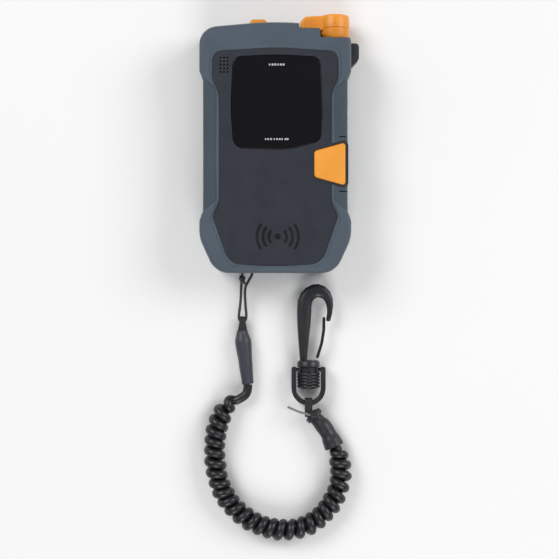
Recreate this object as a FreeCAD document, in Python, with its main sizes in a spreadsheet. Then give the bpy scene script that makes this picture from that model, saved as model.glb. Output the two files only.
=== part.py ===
"""Avalanche transceiver with its coiled lanyard and swivel snap hook, as a parametric assembly.

The transceiver lies on its back. X runs to the right across the case, Y runs up the case from the
lanyard end to the switch end, and Z comes out of the front. The origin is the middle of the back face.
All sizes are in millimetres.
"""

import FreeCAD
import Part
import math
import os

from FreeCAD import Placement, Rotation, Vector

DEPTH_AXIS = Vector(0, 0, 1)
ALONG_X = Rotation(Vector(0, 1, 0), 90)
ALONG_Y = Rotation(Vector(1, 0, 0), -90)
UPRIGHT = Rotation()

SIZES = {
    # case
    "body_width": 72.0,
    "waist_inset": 1.4,
    "body_height": 118.8,
    "case_depth": 27.0,
    "rear_depth": 16.5,
    "wall": 2.0,
    "bumper_wall": 2.2,
    "back_round": 4.5,
    "bumper_round": 3.0,
    "face_drop": 0.8,
    "lip_depth": 1.8,
    "panel_depth": 3.0,
    "gasket_width": 0.8,
    "gasket_depth": 1.0,
    "running_gap": 0.35,
    # case screws
    "screw_radius": 1.25,
    "screw_head_radius": 2.3,
    "screw_head_depth": 1.5,
    "screw_recess": 1.0,
    "boss_radius": 3.3,
    "boss_inset": 9.7,
    "boss_from_top": 28.4,
    "boss_from_bottom": 15.4,
    # window and display
    "window_width": 43.2,
    "window_height": 44.6,
    "window_offset": 0.6,
    "window_from_top": 38.1,
    "lens_depth": 1.3,
    "lens_seat": 0.2,
    "lens_ledge": 2.4,
    "display_depth": 3.2,
    "display_gap": 0.3,
    # circuit board
    "board_depth": 1.6,
    "board_lift": 0.7,
    "board_width": 44.0,
    "board_height": 94.2,
    "board_tab": 6.6,
    "board_from_top": 7.1,
    # option button, on the right of the face
    "option_width": 14.9,
    "option_tall": 20.6,
    "option_short": 12.4,
    "option_edge": 1.35,
    "option_drop": 67.3,
    "option_proud": 0.6,
    "option_depth": 4.4,
    "option_travel": 1.2,
    # mode lever, at the top right corner
    "notch_floor": 7.5,
    "notch_step": 3.1,
    "notch_width": 14.7,
    "step_width": 24.6,
    "hub_radius": 7.0,
    "hub_height": 12.2,
    "hub_gap": 0.4,
    "lever_inset": 7.35,
    "lever_height": 12.0,
    "finger_reach": 16.7,
    "finger_width": 6.8,
    "finger_depth": 9.0,
    "finger_gap": 0.4,
    "shaft_radius": 2.5,
    "shaft_length": 15.0,
    "shaft_gap": 0.05,
    "seal_radius": 0.8,
    # lock tab, on the right flank under the lever
    "tab_proud": 4.2,
    "tab_height": 11.4,
    "tab_depth": 8.0,
    # top button
    "top_button_width": 9.8,
    "top_button_depth": 5.4,
    "top_button_proud": 3.0,
    "top_button_centre": 8.1,
    "top_button_travel": 1.5,
    # batteries, bay and door
    "cell_radius": 5.25,
    "cell_length": 44.5,
    "cell_gap": 0.25,
    "bay_from_bottom": 9.9,
    "bay_end_room": 1.9,
    "bay_wall": 1.4,
    "door_depth": 1.7,
    "door_inset": 0.3,
    "door_ledge": 3.2,
    "pin_radius": 0.75,
    "knuckle_radius": 1.4,
    "knuckle_width": 24.0,
    "coin_screw_radius": 3.2,
    # antennas and speaker
    "ferrite_radius": 3.0,
    "winding_depth": 1.3,
    "long_antenna": 58.0,
    "cross_antenna": 33.0,
    "upright_antenna": 9.0,
    "speaker_length": 9.0,
    "speaker_width": 6.0,
    "speaker_depth": 2.6,
    "port_radius": 0.45,
    # lanyard
    "post_radius": 1.4,
    "post_from_left": 22.5,
    "post_from_bottom": 3.6,
    "recess_depth": 7.6,
    "recess_height": 4.8,
    "recess_lift": 5.1,
    "loop_diameter": 1.3,
    "cord_diameter": 4.4,
    "coil_diameter": 11.0,
    # swivel snap hook
    "barrel_radius": 5.5,
    "barrel_height": 13.6,
    "bow_thick": 2.5,
    "bow_depth": 4.6,
    "bow_reach": 7.05,
    "hook_thick": 5.6,
    "gate_diameter": 1.5,
}

doc = FreeCAD.newDocument("transceiver")
sheet = doc.addObject("Spreadsheet::Sheet", "sizes")
for row, (alias, value) in enumerate(SIZES.items(), start=1):
    sheet.set(f"A{row}", alias)
    sheet.set(f"B{row}", str(value))
    sheet.setAlias(f"B{row}", alias)
doc.recompute()

kept = []


def size(alias):
    """The value of one named cell of the sheet."""
    return float(sheet.get(alias))


# ---------------------------------------------------------------- outlines


def turned(a, b):
    """The cross product of two plane vectors."""
    return a.x * b.y - a.y * b.x


def rounded(corners):
    """Lines and arcs round a polygon of (x, y, radius) corners.

    A corner's arc takes at most 0.45 of the shorter side beside it.
    """
    count = len(corners)
    ends, arcs = [], []
    for i, (x, y, radius) in enumerate(corners):
        here = Vector(x, y, 0)
        back = Vector(*corners[i - 1][:2], 0) - here
        ahead = Vector(*corners[(i + 1) % count][:2], 0) - here
        reach = 0.45 * min(back.Length, ahead.Length)
        back.normalize()
        ahead.normalize()
        half = math.acos(max(-1.0, min(1.0, back.dot(ahead)))) / 2
        along = min(radius / math.tan(half), reach)
        fitted = along * math.tan(half)
        inward = (back + ahead).normalize()
        middle = here + inward * (fitted / math.sin(half) - fitted)
        arcs.append((here + back * along, middle, here + ahead * along))
    for i, arc in enumerate(arcs):
        ends.append(Part.ArcOfCircle(*arc))
        ends.append(Part.LineSegment(arc[2], arcs[(i + 1) % count][0]))
    return ends


def inset(corners, distance):
    """The polygon of corners moved inwards by distance, or outwards where distance is negative."""
    points = [Vector(x, y, 0) for x, y, _ in corners]
    count = len(points)
    area = sum(turned(points[i - 1], points[i]) for i in range(count))
    side = 1 if area > 0 else -1
    moved = []
    for i, (_, _, radius) in enumerate(corners):
        here = points[i]
        before = (here - points[i - 1]).normalize()
        after = (points[(i + 1) % count] - here).normalize()
        first = Vector(-before.y, before.x, 0) * side
        second = Vector(-after.y, after.x, 0) * side
        bisector = (first + second).normalize()
        place = here + bisector * (distance / bisector.dot(first))
        convex = turned(before, after) * side > 0
        grown = radius - distance if convex else radius + distance
        moved.append((place.x, place.y, max(grown, 0.3)))
    return moved


def rectangle(x_low, x_high, y_low, y_high, radius):
    """The corners of an upright rectangle with rounded corners."""
    return [
        (x_low, y_low, radius),
        (x_high, y_low, radius),
        (x_high, y_high, radius),
        (x_low, y_high, radius),
    ]


top = size("body_height") / 2
bottom = -top
flank = size("body_width") / 2
waist = size("body_width") / 2 - size("waist_inset")
rim = size("wall") + size("bumper_wall")
face = size("case_depth") - size("face_drop")
lip_floor = face - size("lip_depth")
lever_x = flank - size("lever_inset")
lever_y = top - size("notch_floor") + size("hub_gap")
lever_z = size("lever_height")


def case_outline():
    """The case seen from the front: bumper corners, a slight waist and the notch for the lever."""
    notch_x = flank - size("notch_width")
    step_x = flank - size("step_width")
    notch_y = top - size("notch_floor")
    step_y = top - size("notch_step")
    crown = top + 0.6
    shoulder = top - 2.6
    return [
        (0, crown, 120),
        (-flank, shoulder, 8.5),
        (-flank, top - 23.4, 4),
        (-waist, top - 26.6, 4),
        (-waist, bottom + 29.0, 6),
        (-flank, bottom + 24.4, 6),
        (-flank, bottom + 16.6, 15),
        (-flank + 7.6, bottom, 9.5),
        (flank - 7.6, bottom, 9.5),
        (flank, bottom + 16.6, 15),
        (flank, bottom + 24.4, 6),
        (waist, bottom + 29.0, 6),
        (waist, top - 26.6, 4),
        (flank, top - 23.4, 4),
        (flank, notch_y, 1.6),
        (notch_x, notch_y, 0.8),
        (notch_x, step_y, 0.8),
        (step_x, step_y, 0.8),
        (step_x, crown - (crown - shoulder) * step_x / flank, 0.8),
    ]


def panel_outline():
    """The dark face panel inside the bumper frame."""
    right, left = flank - 6.6, 6.6 - flank
    narrow = waist - 8.0
    return [
        (0, top - 12.2, 100),
        (left - 0.2, top - 14.0, 4.5),
        (left - 0.5, top - 26.4, 8),
        (-narrow, top - 34.6, 10),
        (-narrow, bottom + 33.6, 10),
        (left - 0.4, bottom + 27.0, 5),
        (-flank + 14.2, bottom + 4.4, 7.5),
        (0, bottom + 3.0, 120),
        (flank - 14.2, bottom + 4.4, 7.5),
        (right + 0.4, bottom + 27.0, 5),
        (narrow, bottom + 33.6, 10),
        (narrow, top - 34.6, 10),
        (right + 0.5, top - 26.4, 8),
        (right + 0.2, top - 14.0, 4.5),
    ]


def window_outline():
    """The display window: bowed sides, an arched head and a foot that rises on the right."""
    x, y = size("window_offset"), top - size("window_from_top")
    half, tall = size("window_width") / 2, size("window_height") / 2
    return [
        (x, y + tall + 0.2, 90),
        (x - half + 1.0, y + tall - 0.7, 4.5),
        (x - half - 0.1, y - 3.0, 90),
        (x - half + 1.3, y - tall + 0.6, 5.5),
        (x + 6.0, y - tall - 0.2, 40),
        (x + half - 0.6, y - tall + 4.0, 5.0),
        (x + half + 0.1, y - 3.0, 90),
        (x + half - 0.8, y + tall - 0.8, 4.5),
    ]


def option_outline():
    """The option button: a wedge whose long side is on the right."""
    right = waist - size("option_edge")
    left = right - size("option_width")
    y = top - size("option_drop")
    tall, short = size("option_tall") / 2, size("option_short") / 2
    return [
        (right, y + tall, 1.4),
        (left, y + short, 1.8),
        (left, y - short, 1.8),
        (right, y - tall, 1.4),
    ]


# ---------------------------------------------------------------- building helpers


def body(label):
    """A new PartDesign body."""
    made = doc.addObject("PartDesign::Body", label)
    made.Label = label
    return made


def sketch(owner, name, outlines, height, plane="XY_Plane"):
    """A sketch of closed outlines at a height above one of its body's origin planes."""
    drawn = owner.newObject("Sketcher::SketchObject", name)
    base = next(f for f in owner.Origin.OriginFeatures if f.Role == plane)
    drawn.AttachmentSupport = [(base, "")]
    drawn.MapMode = "FlatFace"
    drawn.setExpression("AttachmentOffset.Base.z", height)
    for outline in outlines:
        drawn.addGeometry(outline, False)
    return drawn


def circles(points, radius):
    """Circles of one radius at several points, as outlines for a sketch."""
    return [[Part.Circle(Vector(x, y, 0), DEPTH_AXIS, radius)] for x, y in points]


def pad(owner, profile, length):
    """A pad of a sketch, along its normal, as long as an expression of the sheet says."""
    made = owner.newObject("PartDesign::Pad", profile.Name + "_pad")
    made.Profile = profile
    made.setExpression("Length", length)
    profile.Visibility = False
    doc.recompute()
    return made


def pocket(owner, profile, length, upwards=False):
    """A pocket cut down from a sketch, or up from it. It has to take material away."""
    before = owner.Shape.Volume
    made = owner.newObject("PartDesign::Pocket", profile.Name + "_pocket")
    made.Profile = profile
    made.setExpression("Length", length)
    made.Reversed = upwards
    doc.recompute()
    if owner.Shape.Volume > before - 1e-3:
        raise RuntimeError(f"{made.Name} cuts nothing")
    return made


def level_edges(shape, height):
    """The names of a shape's edges that lie flat at one height."""
    return [
        f"Edge{i}"
        for i, edge in enumerate(shape.Edges, start=1)
        if abs(edge.BoundBox.ZMin - height) < 1e-4 and abs(edge.BoundBox.ZMax - height) < 1e-4
    ]


def soften(owner, feature, edges, radius):
    """A fillet on named edges of a body's feature."""
    made = owner.newObject("PartDesign::Fillet", feature.Name + "_round")
    made.Base = (feature, edges)
    made.setExpression("Radius", radius)
    doc.recompute()
    return made


def place(thing, x, y, z, rotation=UPRIGHT):
    """Puts an object where it goes. A text is an expression of the sheet, a number stays a number."""
    thing.Placement = Placement(Vector(0, 0, 0), rotation)
    for axis, value in (("x", x), ("y", y), ("z", z)):
        thing.setExpression(f"Placement.Base.{axis}", value if isinstance(value, str) else f"{value:.6f}")
    return thing


def measured(thing, **sizes):
    """Binds an object's dimensions to expressions of the sheet."""
    for name, value in sizes.items():
        thing.setExpression(name, value if isinstance(value, str) else f"{value:.6f}")
    return thing


def block(name, x, y, z, length, width, height):
    """A box from its lowest corner."""
    made = doc.addObject("Part::Box", name)
    measured(made, Length=length, Width=width, Height=height)
    return place(made, x, y, z)


def rod(name, x, y, z, radius, height, rotation=UPRIGHT):
    """A cylinder from the middle of its foot."""
    made = doc.addObject("Part::Cylinder", name)
    measured(made, Radius=radius, Height=height)
    return place(made, x, y, z, rotation)


def ring(name, x, y, z, major, minor, rotation=UPRIGHT):
    """A torus."""
    made = doc.addObject("Part::Torus", name)
    measured(made, Radius1=major, Radius2=minor)
    return place(made, x, y, z, rotation)


def joined(name, parts):
    """Several solids fused into one."""
    made = doc.addObject("Part::MultiFuse", name)
    made.Shapes = parts
    return made


def cut(name, base, tool):
    """One solid less another."""
    made = doc.addObject("Part::Cut", name)
    made.Base = base
    made.Tool = tool
    return made


def group(name, parts):
    """Separate solids that share one node."""
    made = doc.addObject("Part::Compound", name)
    made.Links = parts
    return made


def keep(thing, label):
    """Marks an object as a sub-part of the assembly."""
    thing.Label = label
    kept.append(thing)
    return thing


def feature(label, shape):
    """A sub-part whose shape is worked out in this file."""
    made = doc.addObject("Part::Feature", label)
    made.Shape = shape
    return keep(made, label)


# ---------------------------------------------------------------- places inside the case

seam = size("running_gap")
rear_top = size("rear_depth")
cell = size("cell_radius")
cell_pitch = 2 * cell + size("cell_gap")
bay_half = 1.5 * cell_pitch + size("cell_gap")
bay_low = bottom + size("bay_from_bottom")
bay_high = bay_low + size("cell_length") + 2 * size("bay_end_room")
bay_roof = size("door_depth") + 2 * cell + 2 * size("cell_gap") + 0.4
cell_z = size("door_depth") + cell + size("cell_gap") + 0.2
ledge = size("door_ledge")
door_half = bay_half + ledge
door_foot = bay_low - 5.4
pin_y = door_foot + size("knuckle_radius")
pin_z = size("knuckle_radius")
door_high = bay_high + 9.3
coin_y = bay_high + 5.0
block_half = door_half + size("bay_wall")
block_high = door_high + size("bay_wall")
block_top = bay_roof + size("bay_wall")
board_z = rear_top + size("board_lift")
board_top = board_z + size("board_depth")
plate_z = face - size("panel_depth")
option_x = waist - size("option_edge") - size("option_width") / 2
option_y = top - size("option_drop")
option_floor = face + size("option_proud") - size("option_depth") - size("option_travel") - 0.2
button_x = -size("top_button_centre")
post_x = -flank + size("post_from_left")
post_y = bottom + size("post_from_bottom")
post_z = size("recess_lift") + size("recess_height") / 2
boss_x = flank - size("boss_inset")
boss_upper = top - size("boss_from_top")
boss_lower = bottom + size("boss_from_bottom")
bosses = [(boss_x, boss_upper), (-boss_x, boss_upper), (boss_x, boss_lower), (-boss_x, boss_lower)]


def plain_outline():
    """The case outline before the notch for the lever is taken out."""
    left_half = case_outline()[:8]
    return left_half + [(-x, y, radius) for x, y, radius in reversed(left_half[1:])]


def notch():
    """The corner that is cut away for the lever."""
    notch_x, step_x = flank - size("notch_width"), flank - size("step_width")
    notch_y, step_y = top - size("notch_floor"), top - size("notch_step")
    beyond = flank + 12
    above = top + 12
    return [
        (beyond, notch_y, 0.3),
        (beyond, above, 0.3),
        (step_x, above, 0.3),
        (step_x, step_y, 0.8),
        (notch_x, step_y, 0.8),
        (notch_x, notch_y, 0.8),
    ]


# ---------------------------------------------------------------- rear housing

rear = body("rear_tub")
rear_pad = pad(rear, sketch(rear, "rear_outline", [rounded(plain_outline())], "0"), "sizes.rear_depth")
soften(rear, rear_pad, level_edges(rear.Shape, 0), "sizes.back_round")
rear_notch = sketch(rear, "rear_notch", [rounded(notch())], "sizes.rear_depth")
pocket(rear, rear_notch, "sizes.rear_depth")
inner = inset(plain_outline(), rim)
inner_cut = [
    (flank - rim, top - size("notch_floor") - rim, 2),
    (flank - size("step_width") - rim, top - size("notch_floor") - rim, 2),
    (flank - size("step_width") - rim, top - rim - 1.2, 2),
]
cavity = [c for c in inner if not (c[0] > 2 and c[1] > top - 16)] + inner_cut
cavity_wires = [rounded(cavity)]
rear_cavity = sketch(rear, "rear_cavity", cavity_wires, "sizes.rear_depth")
pocket(rear, rear_cavity, "sizes.rear_depth - sizes.wall")
gasket_line = inset(cavity, -1.3)
gasket_wires = [rounded(gasket_line), rounded(inset(gasket_line, -size("gasket_width")))]
rear_groove = sketch(rear, "rear_groove", gasket_wires, "sizes.rear_depth")
pocket(rear, rear_groove, "sizes.gasket_depth")
block_outline = rectangle(-block_half, block_half, bottom + 2.5, block_high, 2.5)
bay_block = sketch(rear, "bay_block", [rounded(block_outline)], "sizes.wall - 0.5")
pad(rear, bay_block, f"{block_top - size('wall') + 0.5:.4f}")
rear_bosses = sketch(rear, "rear_bosses", circles(bosses, size("boss_radius")), "sizes.wall - 0.5")
pad(rear, rear_bosses, "sizes.rear_depth - sizes.wall + 0.5")
rests = [(s * 12, y) for s in (1, -1) for y in (bay_low + 3, bay_high - 3)]
board_rests = sketch(rear, "board_rests", circles(rests, 1.8), f"{block_top - 0.5:.4f}")
pad(rear, board_rests, f"{board_z - block_top + 0.5:.4f}")
door_line = rectangle(-door_half, door_half, door_foot, door_high, 1.2)
door_seat = sketch(rear, "door_seat", [rounded(inset(door_line, -seam))], "0")
pocket(rear, door_seat, "sizes.door_depth + 0.2", upwards=True)
bay_line = rectangle(-bay_half, bay_half, bay_low, bay_high, 0.8)
bay = sketch(rear, "bay", [rounded(bay_line)], "0")
pocket(rear, bay, f"{bay_roof:.4f}", upwards=True)
seal_line = inset(bay_line, -1.0)
seal_wires = [rounded(seal_line), rounded(inset(seal_line, -size("gasket_width")))]
door_groove = sketch(rear, "door_groove", seal_wires, "sizes.door_depth + 0.2")
pocket(rear, door_groove, "sizes.gasket_depth - 0.2", upwards=True)
screw_holes = sketch(rear, "screw_holes", circles(bosses, size("screw_radius") + 0.05), "0")
pocket(rear, screw_holes, "sizes.rear_depth", upwards=True)
screw_seats = sketch(rear, "screw_seats", circles(bosses, size("screw_head_radius") + 0.1), "0")
pocket(rear, screw_seats, "sizes.screw_recess + sizes.screw_head_depth", upwards=True)
tab_low = top - size("notch_floor") - 0.9 - size("tab_height")
tab_z = lever_z - 1.6
knuckle_room = size("knuckle_radius") + seam
cutters = [
    rod("shaft_bore", f"{lever_x:.4f}", f"{lever_y - size('shaft_length'):.4f}", "sizes.lever_height",
        "sizes.shaft_radius + sizes.shaft_gap", "sizes.shaft_length + 2", ALONG_Y),
    rod("seal_seat", f"{lever_x:.4f}", f"{lever_y - size('hub_gap') - 2 * size('seal_radius') - 0.1:.4f}",
        "sizes.lever_height", "sizes.shaft_radius + 2 * sizes.seal_radius + 0.05",
        "2 * sizes.seal_radius + 2", ALONG_Y),
    block("tab_pocket", f"{flank - 3.5:.4f}", f"{tab_low - 0.25:.4f}",
          f"{tab_z:.4f} - sizes.tab_depth / 2 - 0.25",
          "10", "sizes.tab_height + 0.5", "sizes.tab_depth + 0.5"),
    block("button_slot", f"{button_x:.4f} - sizes.top_button_width / 2 - 0.25", f"{top - rim - 1:.4f}",
          f"{lever_z:.4f} - sizes.top_button_depth / 2 - 0.25", "sizes.top_button_width + 0.5", "12",
          "sizes.top_button_depth + 0.5"),
    block("lanyard_recess", f"{post_x - 7.5:.4f}", f"{bottom - 5:.4f}", "sizes.recess_lift", "15",
          "5 + sizes.recess_depth", "sizes.recess_height"),
    rod("pin_bore", f"{-door_half - 1.4:.4f}", f"{pin_y:.4f}", f"{pin_z:.4f}", "sizes.pin_radius + 0.05",
        f"{2 * door_half + 2.8:.4f}", ALONG_X),
    rod("knuckle_room", f"{-size('knuckle_width') / 2 - seam:.4f}", f"{pin_y:.4f}", f"{pin_z:.4f}",
        f"{knuckle_room:.4f}", f"{size('knuckle_width') + 2 * seam:.4f}", ALONG_X),
    rod("coin_bore", "0", f"{coin_y:.4f}", "0", "sizes.coin_screw_radius + 0.2", "sizes.door_depth + 1.6"),
]
lanyard_post = rod("lanyard_post", f"{post_x:.4f}", f"{post_y:.4f}", "sizes.recess_lift - 0.5",
                   "sizes.post_radius", "sizes.recess_height + 1")
rear_machined = cut("rear_machined", rear, joined("rear_cutters", cutters))
rear_shell = keep(joined("rear_shell", [rear_machined, lanyard_post]), "rear_housing")

# ---------------------------------------------------------------- front housing

front = body("front_housing")
shell_line = inset(plain_outline(), size("bumper_wall"))
front_outline = sketch(front, "front_outline", [rounded(shell_line)], "sizes.rear_depth")
front_pad = pad(front, front_outline, f"{lip_floor - rear_top:.4f}")
panel = sketch(front, "panel", [rounded(panel_outline())], f"{lip_floor - 0.5:.4f}")
pad(front, panel, f"{face - lip_floor + 0.5:.4f}")
front_cavity = sketch(front, "front_cavity", cavity_wires, "sizes.rear_depth")
pocket(front, front_cavity, f"{plate_z - rear_top:.4f}", upwards=True)
front_bosses = sketch(front, "front_bosses", circles(bosses, size("boss_radius")), "sizes.rear_depth")
pad(front, front_bosses, f"{plate_z + 0.5 - rear_top:.4f}")
pilot_holes = sketch(front, "pilot_holes", circles(bosses, size("screw_radius") + 0.02), "sizes.rear_depth")
pocket(front, pilot_holes, "5.5", upwards=True)
surround = inset(option_outline(), -size("option_edge") + 0.05)
option_surround = sketch(front, "option_surround", [rounded(surround)], f"{option_floor - 1:.4f}")
pad(front, option_surround, f"{face + 0.1 - option_floor + 1:.4f}")
option_well = sketch(front, "option_well", [rounded(inset(option_outline(), -0.25))], f"{face + 1:.4f}")
pocket(front, option_well, f"{face + 1 - option_floor:.4f}")
plunger_hole = sketch(front, "plunger_hole", circles([(option_x, option_y)], 1.4), f"{option_floor + 1:.4f}")
pocket(front, plunger_hole, "3")
lens_seat = sketch(front, "lens_seat", [rounded(inset(window_outline(), -0.15))], f"{face + 1:.4f}")
pocket(front, lens_seat, "1 + sizes.lens_depth + sizes.lens_seat")
sight = inset(window_outline(), size("lens_ledge"))
display_opening = sketch(front, "display_opening", [rounded(sight)], f"{face + 1:.4f}")
pocket(front, display_opening, "1 + sizes.panel_depth + 0.5")
speaker_x, speaker_y = -flank + 11.8, top - 20.4
ports = [(speaker_x + dx * 1.7, speaker_y + dy * 1.7) for dx in (-1, 0, 1) for dy in (-2, -1, 0, 1, 2)]
grille = sketch(front, "grille", circles(ports, size("port_radius")), f"{face + 1:.4f}")
pocket(front, grille, "1 + sizes.panel_depth + 0.5")
front_notch = sketch(front, "front_notch", [rounded(inset(notch(), -0.05))], f"{face + 1:.4f}")
pocket(front, front_notch, f"{face + 1 - rear_top:.4f}")
keep(front, "front_housing")

# ---------------------------------------------------------------- rubber bumper frame

bumper = body("bumper_frame")
frame_top = sketch(bumper, "frame_top", [rounded(plain_outline())], "sizes.rear_depth")
frame_pad = pad(bumper, frame_top, "sizes.case_depth - sizes.rear_depth")
soften(bumper, frame_pad, level_edges(bumper.Shape, size("case_depth")), "sizes.bumper_round")
frame_sight = sketch(bumper, "frame_sight", [rounded(inset(panel_outline(), -0.1))], "sizes.case_depth")
pocket(bumper, frame_sight, "sizes.case_depth - sizes.rear_depth")
under = [rounded(inset(plain_outline(), size("bumper_wall") - 0.05))]
frame_under = sketch(bumper, "frame_under", under, "sizes.rear_depth")
pocket(bumper, frame_under, f"{lip_floor + 0.05 - rear_top:.4f}", upwards=True)
frame_notch = sketch(bumper, "frame_notch", [rounded(notch())], "sizes.case_depth")
pocket(bumper, frame_notch, "sizes.case_depth - sizes.rear_depth")
clear = [rounded(inset(surround, -0.05))]
frame_option = sketch(bumper, "frame_option", clear, "sizes.case_depth")
pocket(bumper, frame_option, f"{size('case_depth') - option_floor + 1.1:.4f}")
keep(bumper, "bumper_frame")

# ---------------------------------------------------------------- seals, window, display and board

case_gasket = body("case_gasket")
case_seal = sketch(case_gasket, "case_seal", gasket_wires, "sizes.rear_depth - sizes.gasket_depth")
pad(case_gasket, case_seal, "sizes.gasket_depth")
keep(case_gasket, "case_gasket")

door_gasket = body("door_gasket")
door_seal = sketch(door_gasket, "door_seal", seal_wires, "sizes.door_depth + 0.05")
pad(door_gasket, door_seal, "sizes.gasket_depth - 0.05")
keep(door_gasket, "door_gasket")

lens = body("window_lens")
lens_face = sketch(lens, "lens_face", [rounded(window_outline())], f"{face:.4f} - sizes.lens_depth")
lens_pad = pad(lens, lens_face, "sizes.lens_depth")
soften(lens, lens_pad, level_edges(lens.Shape, face), "0.3")
keep(lens, "window_lens")

lens_gasket = body("lens_gasket")
tape_wires = [
    rounded(inset(window_outline(), 0.2)),
    rounded(inset(window_outline(), size("lens_ledge") - 0.2)),
]
lens_tape = sketch(lens_gasket, "lens_tape", tape_wires, f"{face:.4f} - sizes.lens_depth - sizes.lens_seat")
pad(lens_gasket, lens_tape, "sizes.lens_seat")
keep(lens_gasket, "lens_gasket")

display = body("display_module")
screen = inset(window_outline(), 1.2)
display_face = sketch(display, "display_face", [rounded(screen)], f"{board_top:.4f}")
pad(display, display_face, f"{plate_z - board_top:.4f} - sizes.display_gap")
keep(display, "display_module")

board = body("main_board")
half_board = size("board_width") / 2
board_low, board_high = bottom + 12, bottom + 12 + size("board_height")
tongue_high = top - size("board_from_top")
tab_high, tab_foot = option_y + 7, option_y - 7
board_line = [
    (-half_board, board_low, 2),
    (half_board, board_low, 2),
    (half_board, tab_foot, 1),
    (half_board + size("board_tab"), tab_foot, 1),
    (half_board + size("board_tab"), tab_high, 1),
    (half_board, tab_high, 1),
    (half_board, board_high, 2),
    (flank - size("step_width") - rim - 1.6, board_high, 1),
    (flank - size("step_width") - rim - 1.6, tongue_high, 1),
    (-half_board, tongue_high, 2),
]
board_face = sketch(board, "board_face", [rounded(board_line)], f"{board_z:.4f}")
pad(board, board_face, "sizes.board_depth")
keep(board, "main_board")

# ---------------------------------------------------------------- buttons, lever and lock tab

option = body("option_button")
option_low = face + size("option_proud") - size("option_depth")
option_face = sketch(option, "option_face", [rounded(option_outline())], f"{option_low:.4f}")
option_pad = pad(option, option_face, "sizes.option_depth")
option_top = face + size("option_proud")
soften(option, option_pad, level_edges(option.Shape, option_top), "0.5")
keep(option, "option_button")

option_case = block(
    "option_case", f"{option_x - 3:.4f}", f"{option_y - 3:.4f}", f"{board_top:.4f}", "6", "6", "1"
)
option_stem = rod("option_stem", f"{option_x:.4f}", f"{option_y:.4f}", f"{board_top + 0.5:.4f}", "1.2",
                  f"{option_low - board_top - 0.5 - size('option_travel') - 0.05:.4f}")
keep(joined("option_tact", [option_case, option_stem]), "option_switch")

button_low = top - 1.0 - 3.2
cap_y = top + size("top_button_proud")
button_body = body("top_button")
half_cap = size("top_button_width") / 2
cap_line = [
    (button_x - half_cap, button_low, 0.4),
    (button_x + half_cap, button_low, 0.4),
    (button_x + half_cap, top + 0.3, 1.0),
    (button_x + half_cap - 1.7, cap_y, 1.0),
    (button_x - half_cap + 1.7, cap_y, 1.0),
    (button_x - half_cap, top + 0.3, 1.0),
]
cap_face = sketch(
    button_body, "cap_face", [rounded(cap_line)], f"{lever_z:.4f} - sizes.top_button_depth / 2"
)
pad(button_body, cap_face, "sizes.top_button_depth")
keep(button_body, "top_button")

top_case = block("top_case", f"{button_x - 3:.4f}", f"{button_low - 4.9 - size('top_button_travel'):.4f}",
                 f"{lever_z - 3:.4f}", "6", "3.6", f"{board_z - lever_z + 3:.4f}")
top_stem = rod("top_stem", f"{button_x:.4f}", f"{button_low - 1.4 - size('top_button_travel'):.4f}",
               f"{lever_z:.4f}", "1.2", "1.35", ALONG_Y)
keep(joined("top_tact", [top_case, top_stem]), "top_switch")

hub = rod(
    "hub", f"{lever_x:.4f}", f"{lever_y:.4f}", "sizes.lever_height", "sizes.hub_radius", "sizes.hub_height",
    ALONG_Y,
)
finger_low = top - size("notch_step") + size("finger_gap")
finger = body("finger")
finger_line = [
    (lever_x - size("finger_reach"), finger_low, 2.8),
    (lever_x - 2, finger_low, 1),
    (lever_x - 2, lever_y + size("hub_height") - 0.4, 1),
    (lever_x - 9, finger_low + size("finger_width") + 0.4, 4),
    (lever_x - size("finger_reach") + 2.2, finger_low + size("finger_width"), 2.2),
    (lever_x - size("finger_reach"), finger_low + 4.2, 2.2),
]
finger_face = sketch(
    finger, "finger_face", [rounded(finger_line)], "sizes.lever_height - sizes.finger_depth / 2"
)
pad(finger, finger_face, "sizes.finger_depth")
keep(joined("lever_blank", [hub, finger]), "mode_lever")
keep(rod("shaft", f"{lever_x:.4f}", f"{lever_y:.4f} - sizes.shaft_length", "sizes.lever_height",
         "sizes.shaft_radius", "sizes.shaft_length", ALONG_Y), "lever_shaft")
keep(ring("seal", f"{lever_x:.4f}", f"{lever_y - size('hub_gap') - size('seal_radius') - 0.05:.4f}",
          "sizes.lever_height", "sizes.shaft_radius + sizes.seal_radius + 0.03", "sizes.seal_radius",
          ALONG_Y), "lever_seal")
switch_high = lever_y - size("hub_gap") - rim - 1.5
switch_side = size("lever_inset") - rim - 0.25
switch_block = block("switch_block", f"{lever_x - 7:.4f}", f"{switch_high - 8:.4f}",
                     "sizes.lever_height - 4.5",
                     f"{7 + switch_side:.4f}", "8", "9")
switch_bore = rod("switch_bore", f"{lever_x:.4f}", f"{switch_high - 9:.4f}", "sizes.lever_height",
                  "sizes.shaft_radius + sizes.shaft_gap", "10", ALONG_Y)
keep(cut("rotary", switch_block, switch_bore), "rotary_switch")

tab = body("lock_tab")
tab_out = flank + size("tab_proud")
tab_line = [
    (flank - 1.1, tab_low, 0.4),
    (flank + 0.6, tab_low, 0.8),
    (tab_out, tab_low + 3.6, 3),
    (tab_out, tab_low + size("tab_height"), 1.8),
    (flank - 1.1, tab_low + size("tab_height"), 0.4),
]
tab_face = sketch(tab, "tab_face", [rounded(tab_line)], f"{tab_z:.4f} - sizes.tab_depth / 2")
pad(tab, tab_face, "sizes.tab_depth")
keep(tab, "lock_tab")

# ---------------------------------------------------------------- battery door, cells and contacts

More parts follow.
